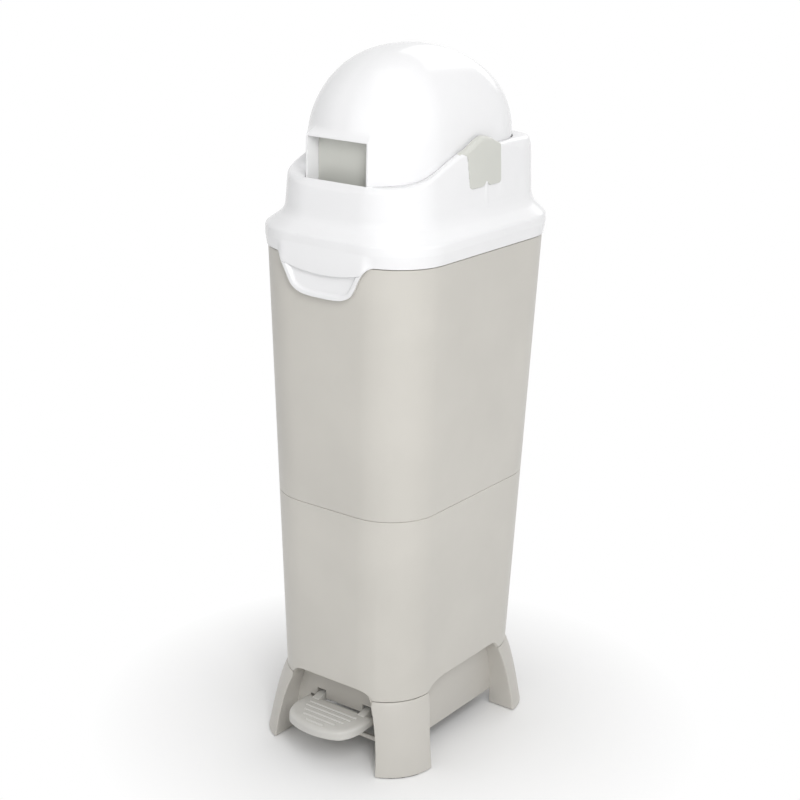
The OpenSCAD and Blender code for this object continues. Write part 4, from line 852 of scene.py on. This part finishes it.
def collar():
    """The head's collar: skirt, shelf, neck and ledge, with the arms of both hinges."""
    a = HEAD_RAYS
    rows = front_rows(a)
    rows += [(head_row(0, RIM_Z, a), 0.6), (head_row(0.2, RIM_Z + RIM_BAND, a), 2.2)]
    start = len(soften(rows))
    low, high = head_row(SHELF_IN, NECK_Z, a), neck_row(0, -1, 1, a)
    foot, *upper = neck_profile(a)
    rows += [foot] + [(low + (high - low) * t, 0.0) for t in np.linspace(0.42, 0.9, 14)] + upper
    rows += [(opening_row(0, -0.6, a), 0.5), (opening_row(0, -SEAT_DEPTH, a), 0.3),
             (opening_row(-SEAT_W, -SEAT_DEPTH, a), 0.5),
             (opening_row(-SEAT_W, -SEAT_DEPTH - SEAT_T, a), 0.5),
             (neck_row(NECK_WALL, -SEAT_DEPTH - SEAT_T, 1, a), 1.0),
             (head_row(SHELF_IN + 3.2, NECK_Z - 3, a), 3.0), (head_row(3.6, RIM_Z + 5, a), 3.0),
             (head_row(SKIRT_WALL, RIM_Z, a), 1.0), (head_row(SKIRT_WALL, SKIRT_Z + 3, a), 0.3)]
    grid = soften(rows, True)
    # The recess under the side covers: only the outside of the neck's flanks is pushed in
    depth = np.clip(in_cover(grid) - 0.5, 0, RECESS)
    sides = (np.abs(grid[..., 0]) > FLANK) & (np.arange(len(grid)) > start - 2)[:, None]
    sides &= (np.abs(grid[..., 1]) < FLANK) & (grid[..., 2] > NECK_Z + 8)
    outer = np.hypot(grid[..., 0], grid[..., 1]) >= opening_edge(0.9, a)[None, :]
    push = depth * (sides & outer)
    inwards = np.stack([-np.sign(grid[..., 0]), 0 * push, -0.6 + 0 * push], -1)
    grid = grid + inwards * push[..., None]
    made = [finish_mesh("shell", grid, grid_faces(grid, True, True))]
    y, z, r = *HEAD_PIN, HEAD_BARREL
    head_arm = [(SHOULDER_HALF[1] + 0.3, SKIRT_Z + 1), (SHOULDER_HALF[1] + 0.3, RIM_Z - 1),
                (RIM_HALF[1] + 1, RIM_Z), (y + r * 0.7, z + r * 0.7), (y - r * 0.9, z - 2)]
    y, z, r = *LID_PIN, LID_BARREL
    lid_arm = [(TOP_HALF[1] - 2, LEDGE_BACK_Z - 14), (TOP_HALF[1] - 2, LEDGE_BACK_Z - 4),
               (y - r * 0.7, z + r * 0.7), (y + r * 0.9, z - 2)]
    for s in (-1, 1):
        for arm, pin, r, bore, hinge in ((head_arm, HEAD_PIN, HEAD_BARREL, HEAD_BORE, HEAD_HINGE),
                                         (lid_arm, LID_PIN, LID_BARREL, LID_BORE, LID_HINGE)):
            x0, x1 = sorted((s * (hinge[0] + HINGE_GAP), s * hinge[1]))
            made += [prism("arm", arm, "x", x0, x1, 0.6), barrel("barrel", x0, x1, pin, r, bore)]
    dress(join("head_collar", made), "head", "white_plastic", "collar")


def side_cover(s, node):
    """A cover that lies on the neck's side and wraps over the ledge, with rounded edges."""
    y = np.concatenate([np.linspace(COVER_FRONT_Y, -20, 16),
                        np.linspace(EAR[2][0], EAR_BACK_Y, 14)[:-1],
                        np.linspace(EAR_BACK_Y, COVER_BACK_Y, 70)])
    ends = np.array([0, 0.25, COVER_ROUND])
    # Row of the softened profile where the neck turns into the ledge
    turn = 12
    y = np.unique(np.round(np.concatenate([y, COVER_FRONT_Y + ends, COVER_BACK_Y - ends]), 4))
    columns = []
    for yi in y:
        a = np.array([math.atan2(yi, TOP_HALF[0] + 0.8)])
        path = soften(neck_profile(a), False, 8)[:, 0, :]
        order = np.cumsum(np.concatenate([[0], np.linalg.norm(np.diff(path, axis=0), axis=1)]))
        foot, start = cover_foot(yi), order[turn]
        if foot < path[turn, 2]:
            start = np.interp(foot, path[:turn + 2, 2], order[:turn + 2])
        even = np.linspace(0, 1, 60) ** 0.9
        along = np.concatenate([ends, 0.9 + (order[-1] - start - 0.9) * even]) + start
        columns.append(np.stack([np.interp(along, order, path[:, k]) for k in range(3)], -1))
    grid = np.array(columns)
    step_u, step_v = np.gradient(grid, axis=0), np.gradient(grid, axis=1)
    normal = np.cross(step_u, step_v)
    normal /= np.maximum(np.linalg.norm(normal, axis=-1, keepdims=True), 1e-9)
    normal *= np.where(normal[..., :1] + normal[..., 2:] < 0, -1, 1)
    run = np.linalg.norm(np.diff(grid, axis=1, prepend=grid[:, :1]), axis=-1).cumsum(1)
    far = np.minimum(run, np.minimum(y - y[0], y[-1] - y)[:, None])
    lift = COVER_LIFT - COVER_SUNK * (1 - np.clip(far / COVER_ROUND, 0, 1)) ** 2
    grid = grid + normal * lift[..., None]
    grid *= np.array([s, 1, 1])
    made = finish_mesh("side_cover", grid, grid_faces(grid, False, False), 70)
    made.name = "cover_left" if s < 0 else "cover_right"
    dress(made, "head", "cover_plastic", node)


# ---------- Lid ----------

# Closest at the pocket's edges
LID_RAYS = ring_angles(LID_HALF, OPENING_REAR, lambda x, y: np.where(
    (y < 0) & (np.abs(np.abs(x) - GRIP_HALF) < 2.0), 0.3,
    np.where((y < 0) & (np.abs(x) < 50), 1.3, 3.0)))


def lid_row(z, inset, a):
    """A ring of the lid at heights z: straight below, and the dome's cap above."""
    turn = np.arcsin(np.clip((z - SPRING_Z) / (LID_TOP_Z - SPRING_Z), 0, 1))
    by = 1 - ease((np.degrees(turn) - NOSE_KEPT) / NOSE_LOST)
    w, d = LID_HALF[0] - inset, LID_HALF[1] - inset
    rho = nosed(w, d, OPENING_REAR - LID_GAP - inset, OPENING_FRONT - LID_GAP - inset,
                NOSE_REACH - inset, by, a)
    x, y = rho * np.cos(a), rho * np.sin(a)
    k = 1 / np.hypot(x / w, y / d)
    s = np.cos(turn) ** CAP_FULLNESS * (1 - 0.2 * np.sin(turn) * (1 - k))
    y = y * s - CAP_FORWARD * np.sin(turn) ** 3
    return np.stack([x * s, y, z - inset * np.sin(turn) + 0 * x], -1)


def lid_levels(a):
    """Heights of the lid's rings: from its edge up, close together at the brow over the grip."""
    edge, rise = ledge(a) - LID_DROP, LID_TOP_Z - SPRING_Z
    lower = [edge + (BROW[0] - 0.8 - edge) * t for t in
             (0, 0.015, 0.04, 0.1, 0.2, 0.35, 0.5, 0.65, 0.8, 0.92, 1.0)]
    first = math.degrees(math.asin((BROW[-1] - SPRING_Z) / rise))
    cap = SPRING_Z + rise * np.sin(np.radians(np.linspace(first + 2, 89.7, 46)))
    return lower + [z + 0 * a for z in (*BROW, *cap)]


def sink_grip(grid, grow, edge_round):
    """Pushes the grip pocket into the lid's front, with steep walls and rounded edges."""
    x, y, z = grid[..., 0], grid[..., 1], grid[..., 2]
    inside = np.minimum(GRIP_HALF + grow - np.abs(x), GRIP_TOP_Z + grow - z)
    near = np.clip(inside + edge_round, 0, edge_round + 0.9) / edge_round
    push = np.where(inside < 0, 0.15 * near ** 2, 0.15 + 40 * inside)
    depth = np.minimum(y + push, GRIP_FLOOR_Y + grow)
    grid[..., 1] = np.where((inside > -edge_round) & (y < GRIP_FLOOR_Y + grow), depth, y)
    return grid


def dome():
    """The dome lid with its grip pocket, its hinge and the heel that the upper rod pushes."""
    a = LID_RAYS
    levels = lid_levels(a)
    outer = sink_grip(np.array([lid_row(z, 0, a) for z in levels]), 0.0, GRIP_ROUND)
    inner = sink_grip(np.array([lid_row(z, LID_WALL, a) for z in levels]), LID_WALL, 0.01)
    rim = (outer[0] + inner[0]) / 2
    grid = np.concatenate([inner[::-1], rim[None], outer])
    faces = grid_faces(grid, False, True) + ends_of(grid)
    shell = finish_mesh("shell", grid, faces, 42)
    y, z = LID_PIN
    back = LEDGE_BACK_Z
    arm = prism("arm", [(LID_HALF[1] - 1, back + 1), (LID_HALF[1] - 1, back + 9),
                        (y, z + LID_BARREL), (y, back + 1)], "x", -LID_HINGE[0], LID_HINGE[0], 0.6)
    knuckle = barrel("knuckle", -LID_HINGE[0], LID_HINGE[0], LID_PIN, LID_BARREL, LID_BORE)
    heel_z = z - 11.5
    seat_y = OPENING_HALF[1] - SEAT_W - 0.8
    heel = prism("heel", [
        (ROD_Y - 8, heel_z), (ROD_Y - 8, heel_z + 3), (ROD_Y + 2, back + 2),
        (LID_HALF[1] - LID_WALL + 0.5, back + 12), (LID_HALF[1] - 0.5, back + 12),
        (LID_HALF[1] - 0.5, back - LID_DROP + 0.5), (seat_y, back - LID_DROP + 0.5),
        (seat_y, heel_z)], "x", -7, 7, 0.5)
    dress(join("lid_dome", [shell, arm, knuckle, heel]), "lid", "lid_plastic", "dome_lid")


def grip_plate():
    """The plain plate in the grip pocket, with rounded corners."""
    (low, high), r, turn = PLATE_Z, PLATE_CORNER, np.linspace(0, math.pi / 2, 6)
    across = PLATE_HALF - r
    right = [(across + r * math.sin(t), low + r - r * math.cos(t)) for t in turn]
    right += [(across + r * math.cos(t), high - r + r * math.sin(t)) for t in turn]
    outline = right + [(-x, z) for x, z in right[::-1]]
    plate = prism("grip_face", outline, "y", GRIP_FLOOR_Y - PLATE_T, GRIP_FLOOR_Y, 0.5)
    dress(plate, "lid", "cover_plastic", "grip_plate")


def spring():
    """The return spring round the lower rod, a coil that fills the CAD spring's box."""
    low, high = (np.array(corner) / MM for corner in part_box("return_spring"))
    radius = (high[0] - low[0]) / 2 - WIRE
    turn = np.linspace(0, TURNS, TURNS * 28 + 1)
    # The first and last turn rise by little more than the wire's own thickness
    bottom, top, end = low[2] + WIRE, high[2] - WIRE, 2.1 * WIRE
    z = np.interp(turn, [0, 1, TURNS - 1, TURNS], [bottom, bottom + end, top - end, top])
    angle = 2 * math.pi * turn
    out = np.stack([np.cos(angle), np.sin(angle), 0 * z], -1)
    middle = out * radius + np.stack([0 * z, 0 * z + ROD_Y, z], -1)
    along = np.gradient(middle, axis=0)
    up = np.cross(along / np.linalg.norm(along, axis=1, keepdims=True), out)
    t = np.linspace(0, 2 * math.pi, 12, endpoint=False)[None, :, None]
    grid = middle[:, None] + WIRE * (np.cos(t) * out[:, None] + np.sin(t) * up[:, None])
    faces = grid_faces(grid, False, True) + ends_of(grid)
    piece = finish_mesh("spring_coil", grid, faces)
    dress(piece, "bin_body", "steel", "return_spring")
    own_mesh(piece)


# ---------- Frame nodes that stay ----------

def paint_frame():
    """Gives each CAD node that stays the material of its slot in the record."""
    for part in frame["record"]["subparts"]:
        node = frame["nodes"][part["node"]]
        if not node.data.materials:
            node.data.materials.append(None)
        for i in range(len(node.data.materials)):
            node.data.materials[i] = MATERIALS[part["material_slot"]]


# ---------- Studio ----------

def white_world():
    """White to the camera, to gloss and through glass; an even grey light for everything else."""
    world = bpy.data.worlds.new("studio")
    bpy.context.scene.world = world
    world.use_nodes = True
    tree = world.node_tree
    tree.nodes.clear()
    out = tree.nodes.new("ShaderNodeOutputWorld")
    light = add_node(tree, "ShaderNodeBackground", Color=(1, 1, 1, 1), Strength=AMBIENT)
    seen = add_node(tree, "ShaderNodeBackground", Color=(1, 1, 1, 1), Strength=1.0)
    path = tree.nodes.new("ShaderNodeLightPath")
    total = path.outputs["Is Camera Ray"]
    for name in ("Is Glossy Ray", "Is Transmission Ray"):
        total = combined(tree, "MAXIMUM", total, path.outputs[name])
    tree.links.new(switched(tree, total, light, seen), out.inputs[0])


def floor():
    """A pale round floor that keeps the bin's shadow."""
    bm = bmesh.new()
    bmesh.ops.create_circle(bm, cap_ends=True, segments=96, radius=FLOOR_R)
    mesh = bpy.data.meshes.new("floor")
    bm.to_mesh(mesh)
    bm.free()
    made = add_object("floor", mesh)
    made.location.z = -FLOOR_DROP
    material = bpy.data.materials.new("floor_white")
    material.use_nodes = True
    tree = material.node_tree
    shader = tree.nodes["Principled BSDF"]
    coords = tree.nodes.new("ShaderNodeTexCoord").outputs["Object"]
    cloud = noise(tree, coords, 3.0, 2.0)
    colour = mixed(tree, cloud, (0.93, 0.93, 0.93, 1), (0.95, 0.95, 0.95, 1))
    tree.links.new(colour, shader.inputs["Base Color"])
    shader.inputs["Roughness"].default_value = 0.9
    shader.inputs["Specular IOR Level"].default_value = 0.1
    # Away from the bin the floor turns plain white to the camera and in gloss
    far = tree.nodes.new("ShaderNodeVectorMath")
    far.operation = "LENGTH"
    tree.links.new(coords, far.inputs[0])
    path = tree.nodes.new("ShaderNodeLightPath")
    seen = combined(tree, "MAXIMUM", path.outputs["Is Camera Ray"], path.outputs["Is Glossy Ray"])
    share = combined(tree, "MULTIPLY", ranged(tree, far.outputs["Value"], *FLOOR_FADE, 0, 1), seen)
    white = add_node(tree, "ShaderNodeEmission", Color=(1, 1, 1, 1), Strength=1.0)
    surface = tree.nodes["Material Output"].inputs["Surface"]
    tree.links.new(switched(tree, share, shader, white), surface)
    made.data.materials.append(material)


def direction(azimuth, height):
    """The way from the bin at an azimuth from the front towards +X and a height, in radians."""
    return Vector((math.sin(azimuth) * math.cos(height), -math.cos(azimuth) * math.cos(height),
                   math.sin(height)))


def soft_box(name, azimuth, height, distance, size, power):
    """A lamp with a rectangular face, aimed at the bin; angles in degrees, sizes in metres."""
    data = bpy.data.lights.new(name, "AREA")
    data.shape, data.size, data.size_y, data.energy = "RECTANGLE", *size, power
    away = direction(math.radians(azimuth), math.radians(height))
    lamp = add_object(name, data)
    lamp.location = Vector((0, 0, AIM_Z)) + away * distance
    lamp.rotation_mode = "QUATERNION"
    lamp.rotation_quaternion = (-away).to_track_quat("-Z", "Y")


def lamps():
    """The studio's lamps."""
    soft_box("key", 44, 34, 1.6, (0.45, 0.9), 10.0)
    soft_box("side", 70, 24, 2.6, (1.3, 1.3), 6.5)
    soft_box("front", -10, 30, 2.8, (1.4, 1.4), 2.5)
    soft_box("top", 30, 82, 2.4, (1.6, 1.6), 4.5)
    soft_box("back", 190, 35, 2.6, (1.6, 1.6), 9)


def camera():
    """The photograph's view: from the front right, a little above, with a slight roll."""
    azimuth, height, roll = (math.radians(angle) for angle in CAMERA_TURN)
    back = direction(azimuth, height)
    right = Vector((math.cos(azimuth), math.sin(azimuth), 0))
    up = back.cross(right)
    side = right * math.cos(roll) + up * math.sin(roll)
    top = up * math.cos(roll) - right * math.sin(roll)
    data = bpy.data.cameras.new("camera")
    data.lens, data.sensor_width = LENS, SENSOR
    made = add_object("camera", data)
    place = Matrix((side, top, back)).transposed().to_4x4()
    place.translation = Vector(CAMERA_AT) * MM
    made.matrix_world = place
    bpy.context.scene.camera = made


camera()
white_world()
floor()
lamps()
paint_frame()
upper_shell()
lower_shell()
base()
pedal()
collar()
side_cover(-1, "side_cover_left")
side_cover(1, "side_cover_right")
dome()
grip_plate()
spring()
bpy.context.scene.view_settings.view_transform = "Standard"
